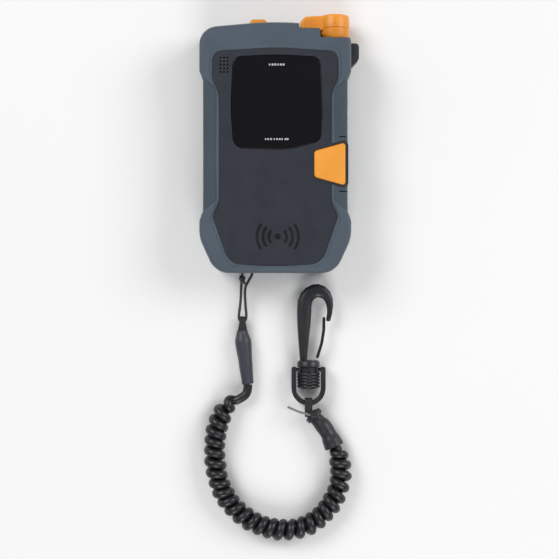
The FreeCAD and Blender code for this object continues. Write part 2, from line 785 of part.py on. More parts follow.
door = body("door_plate")
door_rim = rectangle(-door_half, door_half, pin_y, door_high, 1.2)
door_face = sketch(door, "door_face", [rounded(door_rim)], "0")
pad(door, door_face, "sizes.door_depth")
coin_hole = sketch(door, "coin_hole", circles([(0, coin_y)], 1.6), "0")
pocket(door, coin_hole, "sizes.door_depth", upwards=True)
coin_sink = sketch(door, "coin_sink", circles([(0, coin_y)], size("coin_screw_radius") + 0.06), "0")
pocket(door, coin_sink, "1.1", upwards=True)
knuckle = rod("knuckle", "-sizes.knuckle_width / 2", f"{pin_y:.4f}", f"{pin_z:.4f}", "sizes.knuckle_radius",
              "sizes.knuckle_width", ALONG_X)
ears = block("ears", f"{-door_half + 0.2:.4f}", f"{pin_y - 0.2:.4f}", "0.3",
             f"{2 * door_half - 0.4:.4f}", "2", "1.2")
hinge_pin = rod("hinge_pin", f"{-door_half - 1.2:.4f}", f"{pin_y:.4f}", f"{pin_z:.4f}", "sizes.pin_radius",
                f"{2 * door_half + 2.4:.4f}", ALONG_X)
keep(joined("door_leaf", [door, knuckle, ears, hinge_pin]), "battery_door")

coin_head = rod("coin_head", "0", f"{coin_y:.4f}", "0.05", "sizes.coin_screw_radius", "1")
coin_shank = rod("coin_shank", "0", f"{coin_y:.4f}", "0.5", "1.55", "sizes.door_depth - 0.2")
coin_bar = block("coin_bar", "-2.8", f"{coin_y - 0.7:.4f}", "sizes.door_depth + 0.2", "5.6", "1.4", "0.8")
coin_slot = block("coin_slot", "-sizes.coin_screw_radius - 1", f"{coin_y - 0.6:.4f}", "-0.5",
                  "2 * sizes.coin_screw_radius + 2", "1.2", "1.1")
keep(cut("coin_screw", joined("coin_blank", [coin_head, coin_shank, coin_bar]), coin_slot), "door_screw")

columns = [-cell_pitch, 0.0, cell_pitch]
cell_low = bay_low + size("bay_end_room")
cells = []
springs = []
for number, (x, flipped) in enumerate(zip(columns, (False, True, False)), start=1):
    can = rod(f"can_{number}", f"{x:.4f}", f"{cell_low + (0.8 if flipped else 0):.4f}", f"{cell_z:.4f}",
              "sizes.cell_radius", "sizes.cell_length - 0.8", ALONG_Y)
    nub_y = cell_low if flipped else cell_low + size("cell_length") - 1.0
    nub = rod(f"nub_{number}", f"{x:.4f}", f"{nub_y:.4f}", f"{cell_z:.4f}", "1.9", "1.0", ALONG_Y)
    cells.append(joined(f"cell_{number}", [can, nub]))
    spring_y = cell_low + size("cell_length") + 0.03 if flipped else bay_low + 0.33
    springs.append(rod(f"spring_{number}", f"{x:.4f}", f"{spring_y:.4f}", f"{cell_z:.4f}", "3",
                       f"{size('bay_end_room') - 0.38:.4f}", ALONG_Y))
keep(group("cell_set", cells), "batteries")
keep(group("spring_set", springs), "contact_springs")
plates = [
    block(f"plate_{i}", f"{-bay_half + 0.6:.4f}", f"{y:.4f}", f"{cell_z - 4:.4f}",
          f"{2 * bay_half - 1.2:.4f}", "0.3", "8")
    for i, y in enumerate((bay_low + 0.01, bay_high - 0.31), start=1)
]
keep(group("plate_set", plates), "battery_contacts")

# ---------------------------------------------------------------- antennas, speaker and case screws

winding = size("ferrite_radius") + size("winding_depth")
antenna_room = waist - rim - block_half - 2 * winding
long_x = -waist + rim + winding + antenna_room * 6 / 11
long_low = bottom + 22.4
long_core = rod("long_core", f"{long_x:.4f}", f"{long_low:.4f}", f"{size('wall') + winding + 0.3:.4f}",
                "sizes.ferrite_radius", "sizes.long_antenna", ALONG_Y)
keep(long_core, "antenna_long_core")


def bobbin(label, core, x, y, z, length, rotation):
    """A winding round a ferrite core, with a hair's gap to it."""
    thick = "sizes.ferrite_radius + sizes.winding_depth"
    outside = rod(label + "_outside", x, y, z, thick, length, rotation)
    inside = rod(label + "_inside", x, y, z, "sizes.ferrite_radius + 0.01", length, rotation)
    return keep(cut(core + "_winding", outside, inside), label)


bobbin("antenna_long_winding", "long", f"{long_x:.4f}", f"{long_low + 6:.4f}",
       f"{size('wall') + winding + 0.3:.4f}", "sizes.long_antenna - 12", ALONG_Y)
cross_x = -size("cross_antenna") / 2 - 4.5
cross_y = top - 21.4
cross_z = size("wall") + winding + 0.3
keep(rod("cross_core", f"{cross_x:.4f}", f"{cross_y:.4f}", f"{cross_z:.4f}", "sizes.ferrite_radius",
         "sizes.cross_antenna", ALONG_X), "antenna_cross_core")
bobbin("antenna_cross_winding", "cross", f"{cross_x + 4:.4f}", f"{cross_y:.4f}", f"{cross_z:.4f}",
       "sizes.cross_antenna - 8", ALONG_X)
upright_x, upright_y = flank - 14.0, block_high + 5.4
keep(rod("upright_core", f"{upright_x:.4f}", f"{upright_y:.4f}", "sizes.wall + 0.01", "sizes.ferrite_radius",
         "sizes.upright_antenna"), "antenna_upright_core")
bobbin("antenna_upright_winding", "upright", f"{upright_x:.4f}", f"{upright_y:.4f}", "sizes.wall + 1",
       "sizes.upright_antenna - 2", UPRIGHT)
sounder = block(
    "sounder", f"{speaker_x:.4f} - sizes.speaker_width / 2",
    f"{speaker_y:.4f} - sizes.speaker_length / 2", f"{plate_z:.4f} - sizes.speaker_depth",
    "sizes.speaker_width", "sizes.speaker_length", "sizes.speaker_depth",
)
keep(sounder, "speaker")

screws = []
for number, (x, y) in enumerate(bosses, start=1):
    head = rod(f"screw_head_{number}", f"{x:.4f}", f"{y:.4f}", "sizes.screw_recess",
               "sizes.screw_head_radius", "sizes.screw_head_depth")
    shank = rod(f"screw_shank_{number}", f"{x:.4f}", f"{y:.4f}", "sizes.screw_recess + 0.5",
                "sizes.screw_radius", "sizes.rear_depth + 3")
    drive = rod(f"screw_drive_{number}", f"{x:.4f}", f"{y:.4f}", "0", "1.1", "1.6")
    blank = joined(f"screw_blank_{number}", [head, shank])
    screws.append(cut(f"screw_{number}", blank, drive))
keep(group("screw_set", screws), "case_screws")

# ---------------------------------------------------------------- cords


def route(points):
    """A wire of straight runs joined by tangent arcs, with the smallest radius that it turns through.

    Each arc takes 0.45 of the shorter run beside its corner.
    """
    corners = [Vector(*p) for p in points]
    edges = []
    radii = []
    start = corners[0]
    for before, here, after in zip(corners, corners[1:], corners[2:]):
        back, ahead = before - here, after - here
        reach = 0.45 * min(back.Length, ahead.Length)
        half_turn = (math.pi - back.getAngle(ahead)) / 2
        radius = reach / math.tan(half_turn)
        radii.append(radius)
        back.normalize()
        ahead.normalize()
        bisector = (back + ahead).normalize()
        centre = here + bisector * (radius / math.cos(half_turn))
        middle = centre - bisector * radius
        enter, leave = here + back * reach, here + ahead * reach
        edges.append(Part.LineSegment(start, enter).toShape())
        edges.append(Part.Arc(enter, middle, leave).toShape())
        start = leave
    edges.append(Part.LineSegment(start, corners[-1]).toShape())
    return Part.Wire(edges), radii


def tube(label, points, radius):
    """A round cord along a route. Its volume has to be section times length."""
    path, radii = route(points)
    first = Vector(*points[1]) - Vector(*points[0])
    section = Part.Wire([Part.Circle(Vector(*points[0]), first, radius).toShape()])
    solid = path.makePipeShell([section], True, False)
    expected = math.pi * radius ** 2 * path.Length
    print(f"{label}: {path.Length:.1f} mm long, turns {', '.join(f'{r:.1f}' for r in radii)} mm,"
          f" volume {solid.Volume:.0f} of {expected:.0f} mm3")
    return feature(label, solid)


rest_z = size("coil_diameter") / 2 + 0.05
lead_z = 4.05
loop_radius = size("loop_diameter") / 2
wrap = size("post_radius") + loop_radius + 0.3
thread_z = lead_z + 0.6

# The thin loop runs from its knot down through the eye, back up, round the post and home again.
knot = (post_x - 2.9, bottom - 2.4, post_z - 0.4)
eye_x = post_x - 2.5
eye_y = bottom - 23.6
LOOP_ROUTE = [
    (knot[0], knot[1] - 1.8, knot[2]),
    (eye_x - 0.6, bottom - 7.8, thread_z + 1.45),
    (eye_x - 1.0, bottom - 15.0, thread_z + 0.1),
    (eye_x - 2.2, eye_y, thread_z),
    (eye_x + 2.2, eye_y, thread_z),
    (eye_x + 1.4, bottom - 15.2, thread_z + 0.1),
    (eye_x + 1.05, bottom - 7.2, thread_z + 1.6),
    (eye_x + 3.2, bottom - 3.5, post_z - 0.2),
    (eye_x + 5.1, bottom - 0.2, post_z),
    (post_x + wrap, post_y + wrap, post_z),
    (post_x - wrap, post_y + wrap, post_z),
    (post_x - wrap - 0.1, post_y - 1.4, post_z - 0.05),
    (post_x - wrap - 0.1, bottom - 0.8, post_z - 0.2),
]
tube("lanyard_loop", LOOP_ROUTE, loop_radius)
knot_ball = doc.addObject("Part::Sphere", "knot_ball")
measured(knot_ball, Radius="1.25 * sizes.loop_diameter")
place(knot_ball, f"{knot[0] + 0.3:.4f}", f"{knot[1]:.4f}", f"{knot[2]:.4f}")
knot_tail = rod(
    "knot_tail", f"{knot[0] + 1.3:.4f}", f"{knot[1] - 3.4:.4f}", f"{knot[2] + 0.8:.4f}", "0.5", "3", ALONG_Y
)
keep(joined("knot_shape", [knot_ball, knot_tail]), "loop_knot")


def strap_loop(label, x, y_low, y_high, z, width, thick, height):
    """A strap of one width folded into a closed loop that stands across the cord."""
    made = body(label)
    outer = rectangle(y_low, y_high, z - height / 2, z + height / 2, 1.8)
    drawn = sketch(made, label + "_section", [rounded(outer), rounded(inset(outer, thick))],
                   f"{x - width / 2:.4f}", "YZ_Plane")
    pad(made, drawn, f"{width:.4f}")
    return keep(made, label)


def along(first, second):
    """The rotation that turns Z to point from one place to another."""
    return Rotation(DEPTH_AXIS, Vector(*second) - Vector(*first))


def taper(name, first, second, radius_first, radius_second):
    """A cone between two places."""
    made = doc.addObject("Part::Cone", name)
    height = (Vector(*second) - Vector(*first)).Length
    measured(made, Radius1=radius_first, Radius2=radius_second, Height=height)
    return place(made, *first, along(first, second))


strap_loop("upper_eye", eye_x, eye_y - 3.6, eye_y + 2.6, lead_z, 2.6, 0.9, 5.2)
SLEEVE_TOP = (eye_x - 0.3, eye_y - 4.1, lead_z)
SLEEVE_END = (eye_x + 2.6, eye_y - 30.4, lead_z)
sleeve = body("sleeve_turned")
sleeve_long = (Vector(*SLEEVE_END) - Vector(*SLEEVE_TOP)).Length
sleeve_profile = [(0, 0), (2.6, 0), (3.95, 6.6), (3.6, 14.0), (2.8, sleeve_long), (0, sleeve_long)]
half_section = [
    Part.LineSegment(Vector(*first, 0), Vector(*second, 0))
    for first, second in zip(sleeve_profile, sleeve_profile[1:] + sleeve_profile[:1])
]
sleeve_sketch = sketch(sleeve, "sleeve_section", [half_section], "0", "XZ_Plane")
sleeve_turn = sleeve.newObject("PartDesign::Revolution", "sleeve_turn")
sleeve_turn.Profile = sleeve_sketch
sleeve_turn.ReferenceAxis = (sleeve_sketch, ["V_Axis"])
sleeve_turn.Angle = 360
doc.recompute()
soften(sleeve, sleeve_turn, level_edges(sleeve.Shape, 0), "0.6")
place(sleeve, *SLEEVE_TOP, along(SLEEVE_TOP, SLEEVE_END))
keep(sleeve, "upper_sleeve")
LEAD_ROUTE = [
    (eye_x + 2.62, eye_y - 30.6, lead_z),
    (eye_x + 2.6, eye_y - 34.8, lead_z),
    (eye_x - 0.8, eye_y - 37.4, lead_z + 0.2),
    (eye_x - 5.8, eye_y - 39.2, lead_z + 0.6),
    (eye_x - 8.3, eye_y - 40.7, rest_z - 0.4),
]
tube("cord_lead", LEAD_ROUTE, size("cord_diameter") / 2)

# Each place is given from the post sideways and from the foot of the case downwards.
COIL_PLACES = [
    (-10.9, 65.8),
    (-14.9, 73.8),
    (-16.4, 86.4),
    (-15.0, 99.4),
    (-9.7, 111.1),
    (0.5, 120.6),
    (14.5, 125.2),
    (28.3, 124.0),
    (38.3, 115.9),
    (44.7, 105.1),
    (45.9, 94.0),
    (43.1, 84.9),
]
COIL_ROUTE = [(post_x + x, bottom - y, rest_z) for x, y in COIL_PLACES]
tube("cord_coil", COIL_ROUTE, size("coil_diameter") / 2)

tie_z = 4.9
LOWER_START = (post_x + 42.4, bottom - 84.1, rest_z)
LOWER_MIDDLE = (post_x + 36.9, bottom - 74.0, tie_z)
LOWER_END = (post_x + 30.8, bottom - 67.8, tie_z)
lower_joint = doc.addObject("Part::Sphere", "lower_joint")
measured(lower_joint, Radius=3.7)
place(lower_joint, *LOWER_MIDDLE)
keep(joined("lower_sleeve_solid", [
    taper("lower_sleeve_head", LOWER_START, LOWER_MIDDLE, 4.9, 3.7),
    lower_joint,
    taper("lower_sleeve_tail", LOWER_MIDDLE, LOWER_END, 3.7, 3.2),
]), "lower_sleeve")

# ---------------------------------------------------------------- swivel snap hook

hook_x = post_x + 29.6
barrel_r = size("barrel_radius")
barrel_z = barrel_r + 0.05
barrel_high = bottom - 42.3
barrel_low = barrel_high - size("barrel_height")
groove_y = barrel_high - 4.6
groove_r = barrel_r - 1.3
bow_low = barrel_low - 8.4
arm_x = size("bow_reach")

bow = body("bow_bar")
half_bow = arm_x + size("bow_thick") / 2
bow_outer = [
    (hook_x - half_bow, groove_y + 1.4, 1.0),
    (hook_x - half_bow, bow_low + 4.5, 5.0),
    (hook_x - 4.6, bow_low, 3.5),
    (hook_x + 4.6, bow_low, 3.5),
    (hook_x + half_bow, bow_low + 4.5, 5.0),
    (hook_x + half_bow, groove_y + 1.4, 1.0),
    (hook_x + half_bow - size("bow_thick"), groove_y + 1.4, 0.5),
    (hook_x + half_bow - size("bow_thick"), bow_low + 5.5, 3.0),
    (hook_x + 3.6, bow_low + size("bow_thick"), 2.0),
    (hook_x - 3.6, bow_low + size("bow_thick"), 2.0),
    (hook_x - half_bow + size("bow_thick"), bow_low + 5.5, 3.0),
    (hook_x - half_bow + size("bow_thick"), groove_y + 1.4, 0.5),
]
bow_face = sketch(bow, "bow_face", [rounded(bow_outer)], f"{barrel_z:.4f} - sizes.bow_depth / 2")
pad(bow, bow_face, "sizes.bow_depth")
lugs = [
    rod("lug_left", f"{hook_x - arm_x:.4f}", f"{groove_y:.4f}", f"{barrel_z:.4f}", "1.0",
        f"{arm_x - groove_r - 0.1:.4f}", ALONG_X),
    rod("lug_right", f"{hook_x + groove_r + 0.1:.4f}", f"{groove_y:.4f}", f"{barrel_z:.4f}", "1.0",
        f"{arm_x - groove_r - 0.1:.4f}", ALONG_X),
]
keep(joined("bow_solid", [bow, *lugs]), "swivel_bow")

strap_loop("lower_eye", hook_x, bow_low - 3.0, bow_low + size("bow_thick") + 1.4, barrel_z, 3.6, 0.9,
           size("bow_depth") + 2.6)

tie_line = Vector(*LOWER_END) - Vector(*LOWER_MIDDLE)
tie_start = tuple(Vector(*LOWER_MIDDLE) + tie_line * 0.62)
tie_band = rod("tie_band", *tie_start, "4.4", "2.4", along(LOWER_MIDDLE, LOWER_END))
tie_hole = rod(
    "tie_hole", *tuple(Vector(*LOWER_MIDDLE) + tie_line * 0.5), "3.62", "6", along(LOWER_MIDDLE, LOWER_END)
)
tie_head = block("tie_head", hook_x + 0.8, bottom - 69.7, tie_z + 3.75, "3.6", "2.8", "2.2")
tail_from = (hook_x + 1.4, bottom - 68.7, tie_z + 4.7)
tail_to = (hook_x - 10.2, bottom - 64.9, tie_z + 2.4)
tie_tail = rod("tie_tail", *tail_from, "0.6", f"{(Vector(*tail_to) - Vector(*tail_from)).Length:.4f}",
               along(tail_from, tail_to))
keep(joined("tie_shape", [cut("tie_ring", tie_band, tie_hole), tie_head, tie_tail]), "cable_tie")

hook = body("hook_blank")
hook_line = [
    (hook_x - 4.2, barrel_high - 0.5, 0.6),
    (hook_x - 5.5, barrel_high + 17.7, 30),
    (hook_x - 5.3, barrel_high + 30.7, 6.0),
    (hook_x + 0.1, barrel_high + 36.5, 4.0),
    (hook_x + 5.4, barrel_high + 37.1, 3.0),
    (hook_x + 11.8, barrel_high + 31.9, 4.0),
    (hook_x + 11.8, barrel_high + 24.2, 6.0),
    (hook_x + 10.5, barrel_high + 18.8, 0.9),
    (hook_x + 8.5, barrel_high + 19.0, 0.8),
    (hook_x + 9.0, barrel_high + 24.2, 3.0),
    (hook_x + 8.1, barrel_high + 29.1, 2.4),
    (hook_x + 3.9, barrel_high + 30.3, 2.4),
    (hook_x + 1.4, barrel_high + 28.3, 2.0),
    (hook_x + 1.0, barrel_high + 17.7, 20),
    (hook_x - 0.5, barrel_high + 2.9, 1.2),
    (hook_x + 5.5, barrel_high + 1.8, 0.7),
    (hook_x + 5.5, barrel_high - 0.5, 0.7),
]
hook_face = sketch(hook, "hook_face", [rounded(hook_line)], f"{barrel_z:.4f} - sizes.hook_thick / 2")
pad(hook, hook_face, "sizes.hook_thick")
gate_slot = block("gate_slot", hook_x + 3.2, barrel_high + 0.9, f"{barrel_z:.4f} - 1.1", "2.5", "2.4", "2.2")
rib_count = 6
rib_pitch = (size("barrel_height") - 6.2) / rib_count
barrel_rods = [
    rod("barrel_neck", hook_x, barrel_low, barrel_z, f"{groove_r:.4f}", "sizes.barrel_height", ALONG_Y),
    rod("barrel_head", hook_x, groove_y + 1.15, barrel_z, "sizes.barrel_radius",
        f"{barrel_high - groove_y - 1.15:.4f}", ALONG_Y),
]
for number in range(rib_count):
    barrel_rods.append(rod(f"rib_{number + 1}", hook_x, barrel_low + number * rib_pitch, barrel_z,
                           "sizes.barrel_radius", f"{rib_pitch * 0.62:.4f}", ALONG_Y))
barrel_rods.append(rod("barrel_drum", hook_x, barrel_low + 0.2, barrel_z, "sizes.barrel_radius - 0.5",
                       f"{groove_y - 1.15 - barrel_low - 0.2:.4f}", ALONG_Y))
keep(cut("hook_machined", joined("hook_solid", [hook, *barrel_rods]), gate_slot), "hook_body")

gate = body("hook_gate")
half_gate = size("gate_diameter") / 2
gate_middle = [(4.15, 1.1), (6.4, 8.3), (7.4, 14.7), (7.5, 21.1)]
gate_middle = [(hook_x + x, barrel_high + y) for x, y in gate_middle]
gate_line = [(x + half_gate, y, 6) for x, y in gate_middle]
gate_line += [(x - half_gate, y, 6) for x, y in reversed(gate_middle)]
gate_face = sketch(gate, "gate_face", [rounded(gate_line)], f"{barrel_z:.4f} - 1")
pad(gate, gate_face, "2")
keep(gate, "hook_gate")

# ---------------------------------------------------------------- checks and files

doc.recompute()
for thing in doc.Objects:
    if "Invalid" in thing.State or "Error" in thing.State:
        raise RuntimeError(f"{thing.Name} did not build: {thing.State}")
os.makedirs("parts", exist_ok=True)
for thing in kept:
    if thing.Shape.isNull() or not thing.Shape.isValid() or not thing.Shape.Solids:
        raise RuntimeError(f"{thing.Label} has no valid solid")
    thing.Shape.exportStep(f"parts/{thing.Label}.step")
print(len(kept), "sub-parts written")
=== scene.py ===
"""Avalanche transceiver with its coiled lanyard and snap hook: the finished model round its CAD frame.

Each operator makes one piece, or one group of like pieces, and stands alone in the 3D view's sidebar.
Lengths in the outlines are millimetres in the row frame, and MM turns them into metres.
"""

import math

import bmesh
import bpy
from mathutils import Matrix, Vector


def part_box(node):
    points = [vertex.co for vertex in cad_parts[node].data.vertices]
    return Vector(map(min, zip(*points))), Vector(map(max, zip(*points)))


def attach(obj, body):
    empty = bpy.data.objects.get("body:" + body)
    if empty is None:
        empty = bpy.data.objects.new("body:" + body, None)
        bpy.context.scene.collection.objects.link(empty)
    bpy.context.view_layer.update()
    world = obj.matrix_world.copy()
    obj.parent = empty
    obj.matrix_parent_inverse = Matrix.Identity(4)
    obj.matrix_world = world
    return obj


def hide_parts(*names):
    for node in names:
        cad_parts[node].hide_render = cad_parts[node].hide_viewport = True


bl_info = {
    "name": "Avalanche transceiver",
    "version": (1, 0, 0),
    "blender": (4, 5, 0),
    "location": "View3D > Sidebar > Transceiver",
    "description": "Builds a handheld avalanche transceiver with its coiled lanyard and snap hook",
    "category": "Add Mesh",
}

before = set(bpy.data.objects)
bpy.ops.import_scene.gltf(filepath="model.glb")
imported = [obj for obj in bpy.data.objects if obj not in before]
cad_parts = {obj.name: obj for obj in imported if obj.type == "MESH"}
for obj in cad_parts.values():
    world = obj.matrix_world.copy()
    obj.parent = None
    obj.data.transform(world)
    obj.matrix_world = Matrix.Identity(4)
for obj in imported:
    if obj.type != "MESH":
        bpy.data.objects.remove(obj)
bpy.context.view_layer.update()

MM = 0.001
UP = Vector((0, 0, 1))

# ---------------------------------------------------------------- places that come from the frame

case_low, case_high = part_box("rear_housing")
frame_low, frame_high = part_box("bumper_frame")
lens_low, lens_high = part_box("window_lens")
hook_low, hook_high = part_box("hook_body")
bow_low, bow_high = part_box("swivel_bow")
option_low, option_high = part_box("option_button")
lever_low, lever_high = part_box("mode_lever")

HALF_WIDTH = case_high.x / MM
FOOT = round(case_low.y / MM, 2)
HEAD = -FOOT
WAIST = HALF_WIDTH - 1.4
SEAM = frame_low.z / MM
FRONT = frame_high.z / MM
FACE = lens_high.z / MM
POST_X = -13.5
HOOK_X = POST_X + 29.6
BARREL_TOP = FOOT - 42.3
BARREL_Z = (hook_low.z + hook_high.z) / 2 / MM
COIL_Z = 5.55
LEAD_Z = 4.05
TIE_Z = 4.9


# ---------------------------------------------------------------- settings


def length(name, words, size):
    """A size setting with its default, in metres."""
    return bpy.props.FloatProperty(name=name, description=words, default=size, unit="LENGTH")


class TransceiverSizes(bpy.types.PropertyGroup):
    """Sizes of the transceiver's lanyard and of its moulded details."""

    cord: length("Coiled cord", "Diameter of the coiled cord", 0.0044)
    helix: length("Coil radius", "Radius of the coil at the cord's middle", 0.0031)
    pitch: length("Coil pitch", "Distance from one turn to the next", 0.00495)
    loop: length("Thin loop", "Diameter of the loop at the case", 0.0013)
    grip_drop: length("Grip recess", "Depth of the side grips below the bumpers", 0.0007)


def tint(name, words, shade):
    """A colour setting with its default."""
    return bpy.props.FloatVectorProperty(
        name=name, description=words, default=shade, subtype="COLOR", size=3, min=0.0, max=1.0
    )


class TransceiverColours(bpy.types.PropertyGroup):
    """Colours of the transceiver's materials, in linear light."""

    slate: tint("Slate", "Rubber bumper frame", (0.062, 0.084, 0.110))
    # The grip colour is a darker copy of the slate rubber: painted shade on the side grips, which lie lower
    # and slope away from the light
    grip: tint("Grip", "Side grips of the bumper frame", (0.044, 0.064, 0.082))
    rear: tint("Rear", "Rear housing and battery door", (0.060, 0.078, 0.100))
    navy: tint("Navy", "Front panel", (0.0135, 0.0165, 0.027))
    window: tint("Window", "Display window", (0.0035, 0.003, 0.005))
    orange: tint("Orange", "Lever and buttons", (0.86, 0.31, 0.022))
    amber: tint("Amber", "Option button", (0.83, 0.33, 0.035))
    ink: tint("Ink", "Emblem on the front", (0.003, 0.003, 0.004))
    mark: tint("Marks", "Printed marks on the window", (0.42, 0.44, 0.47))
    cord: tint("Cord", "Coiled cord", (0.010, 0.0105, 0.013))
    thread: tint("Thread", "Thin loop", (0.028, 0.029, 0.032))
    sleeve: tint("Sleeve", "Upper shrunk sleeve", (0.036, 0.040, 0.053))
    lower: tint("Lower sleeve", "Shrunk sleeve at the hook", (0.017, 0.018, 0.022))
    tab: tint("Lock tab", "Lock tab", (0.018, 0.022, 0.030))
    hook: tint("Hook", "Snap hook and swivel", (0.014, 0.015, 0.019))
    tie: tint("Tie", "Tail of the cable tie", (0.20, 0.20, 0.205))
    floor: tint("Floor", "Studio floor", (0.86, 0.86, 0.86))


def sizes():
    """The scene's size settings."""
    return bpy.context.scene.transceiver_sizes


def colours():
    """The scene's colour settings."""
    return bpy.context.scene.transceiver_colours


# ---------------------------------------------------------------- materials


def blank_material(name, colour, roughness):
    """A material with its shader's plain values set, and its node tree."""
    made = bpy.data.materials.new(name)
    made.use_nodes = True
    tree = made.node_tree
    shader = tree.nodes["Principled BSDF"]
    shader.inputs["Base Color"].default_value = (*colour, 1)
    shader.inputs["Roughness"].default_value = roughness
    made.diffuse_color = (*colour, 1)
    return made, tree, shader


def pattern(tree, kind, scale, detail=2.0, stretch=(1, 1, 1)):
    """A procedural texture on the object's own coordinates."""
    place = tree.nodes.new("ShaderNodeTexCoord")
    turn = tree.nodes.new("ShaderNodeMapping")
    turn.inputs["Scale"].default_value = stretch
    texture = tree.nodes.new(kind)
    texture.inputs["Scale"].default_value = scale
    if "Detail" in texture.inputs:
        texture.inputs["Detail"].default_value = detail
    tree.links.new(place.outputs["Object"], turn.inputs["Vector"])
    tree.links.new(turn.outputs["Vector"], texture.inputs["Vector"])
    return texture


def noise(tree, scale, detail=2.0, stretch=(1, 1, 1)):
    """A procedural noise on the object's own coordinates."""
    return pattern(tree, "ShaderNodeTexNoise", scale, detail, stretch)


def value_of(texture):
    """The number that a texture gives."""
    for name in ("Fac", "Factor", "Distance"):
        if name in texture.outputs:
            return texture.outputs[name]
    return texture.outputs[0]


def shade_between(tree, texture, shader, low, high):
    """Varies the shader's roughness from low to high by a texture."""
    spread = tree.nodes.new("ShaderNodeMapRange")
    for end, value in (("From Min", 0.3), ("From Max", 0.7), ("To Min", low), ("To Max", high)):
        spread.inputs[end].default_value = value
    tree.links.new(value_of(texture), spread.inputs["Value"])
    tree.links.new(spread.outputs["Result"], shader.inputs["Roughness"])


def tint_between(tree, texture, shader, colour, spread):
    """Varies the shader's colour a little, darker and lighter, by a texture."""
    ramp = tree.nodes.new("ShaderNodeValToRGB")
    darker = [max(0.0, c * (1 - spread)) for c in colour]
    lighter = [min(1.0, c * (1 + spread)) for c in colour]
    for element, position, shade in zip(ramp.color_ramp.elements, (0.3, 0.7), (darker, lighter)):
        element.position = position
        element.color = (*shade, 1)
    tree.links.new(value_of(texture), ramp.inputs["Fac"])
    tree.links.new(ramp.outputs["Color"], shader.inputs["Base Color"])


def relief(tree, shader, textures):
    """Bump from one or more (texture, depth in metres, strength) layers."""
    last = None
    for texture, depth, strength in textures:
        bump = tree.nodes.new("ShaderNodeBump")
        bump.inputs["Distance"].default_value = depth
        bump.inputs["Strength"].default_value = strength
        tree.links.new(value_of(texture), bump.inputs["Height"])
        if last:
            tree.links.new(last.outputs["Normal"], bump.inputs["Normal"])
        last = bump
    tree.links.new(last.outputs["Normal"], shader.inputs["Normal"])


def moulded(name, colour, roughness, grain=2600.0, depth=0.00004, spread=0.07):
    """Moulded plastic: spark-eroded grain, slight colour drift and uneven gloss."""
    made, tree, shader = blank_material(name, colour, roughness)
    drift = noise(tree, 45.0, 3.0)
    fine = noise(tree, grain, 2.0)
    tint_between(tree, drift, shader, colour, spread)
    smears = noise(tree, 110.0, 4.0)
    shade_between(tree, smears, shader, roughness - 0.06, roughness + 0.08)
    relief(tree, shader, [(fine, depth, 0.5)])
    return made


def rubbery(name, colour, roughness):
    """Overmoulded rubber: a soft stippled skin with a faint sheen."""
    made, tree, shader = blank_material(name, colour, roughness)
    shader.inputs["Sheen Weight"].default_value = 0.12
    shader.inputs["Sheen Roughness"].default_value = 0.5
    shader.inputs["Specular IOR Level"].default_value = 0.35
    drift = noise(tree, 38.0, 4.0)
    stipple = pattern(tree, "ShaderNodeTexVoronoi", 1500.0)
    dust = noise(tree, 260.0, 5.0)
    tint_between(tree, drift, shader, colour, 0.08)
    shade_between(tree, dust, shader, roughness - 0.05, roughness + 0.10)
    relief(tree, shader, [(stipple, 0.00006, 0.35), (dust, 0.00003, 0.3)])
    return made


def glossy(name, colour, roughness=0.08):
    """A polished window: hard coat over deep black, with faint wipe marks."""
    made, tree, shader = blank_material(name, colour, roughness)
    shader.inputs["Coat Weight"].default_value = 0.1
    shader.inputs["Coat Roughness"].default_value = 0.04
    shader.inputs["Specular IOR Level"].default_value = 0.22
    wipes = noise(tree, 30.0, 5.0, (1.0, 5.0, 1.0))
    shade_between(tree, wipes, shader, roughness * 0.7, roughness * 1.6)
    drift = noise(tree, 20.0, 2.0)
    tint_between(tree, drift, shader, colour, 0.15)
    return made


def metallic(name, colour, roughness, brushed=(1, 1, 1)):
    """Plated or drawn metal with fine lines."""
    made, tree, shader = blank_material(name, colour, roughness)
    shader.inputs["Metallic"].default_value = 1.0
    lines = noise(tree, 900.0, 3.0, brushed)
    drift = noise(tree, 80.0, 3.0)
    tint_between(tree, drift, shader, colour, 0.08)
    shade_between(tree, lines, shader, roughness - 0.08, roughness + 0.12)
    relief(tree, shader, [(lines, 0.00002, 0.3)])
    return made


def braided(name, colour, roughness, rows=1800.0):
    """Woven thread: fine slanted ribs with a soft sheen."""
    made, tree, shader = blank_material(name, colour, roughness)
    shader.inputs["Sheen Weight"].default_value = 0.3
    shader.inputs["Sheen Roughness"].default_value = 0.4
    ribs = pattern(tree, "ShaderNodeTexWave", rows / 6, 1.0, (1, 1, 1))
    ribs.inputs["Distortion"].default_value = 1.5
    fuzz = noise(tree, rows, 3.0)
    tint_between(tree, ribs, shader, colour, 0.3)
    shade_between(tree, fuzz, shader, roughness - 0.05, roughness + 0.1)
    relief(tree, shader, [(ribs, 0.00012, 0.6), (fuzz, 0.00004, 0.5)])
    return made


def dress(node, material):
    """Gives a CAD node its finish."""
    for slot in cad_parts[node].material_slots:
        slot.material = material


# ---------------------------------------------------------------- mesh tools


def ringed(items):
    """Each item of a closed ring with the one after it."""
    return zip(items, items[1:] + items[:1])


def evaluated_mesh(piece):
    """A new mesh of a piece as its modifiers or its curve settings make it."""
    bpy.context.view_layer.update()
    return bpy.data.meshes.new_from_object(piece.evaluated_get(bpy.context.evaluated_depsgraph_get()))


def linked(name, data):
    """A new object in the scene's collection."""
    made = bpy.data.objects.new(name, data)
    bpy.context.collection.objects.link(made)
    return made


def raise_faces(bm, faces, height):
    """Extrudes faces straight up by a height in metres."""
    raised = bmesh.ops.extrude_face_region(bm, geom=faces)["geom"]
    verts = [g for g in raised if isinstance(g, bmesh.types.BMVert)]
    bmesh.ops.translate(bm, verts=verts, vec=(0, 0, height))
    bmesh.ops.recalc_face_normals(bm, faces=bm.faces[:])


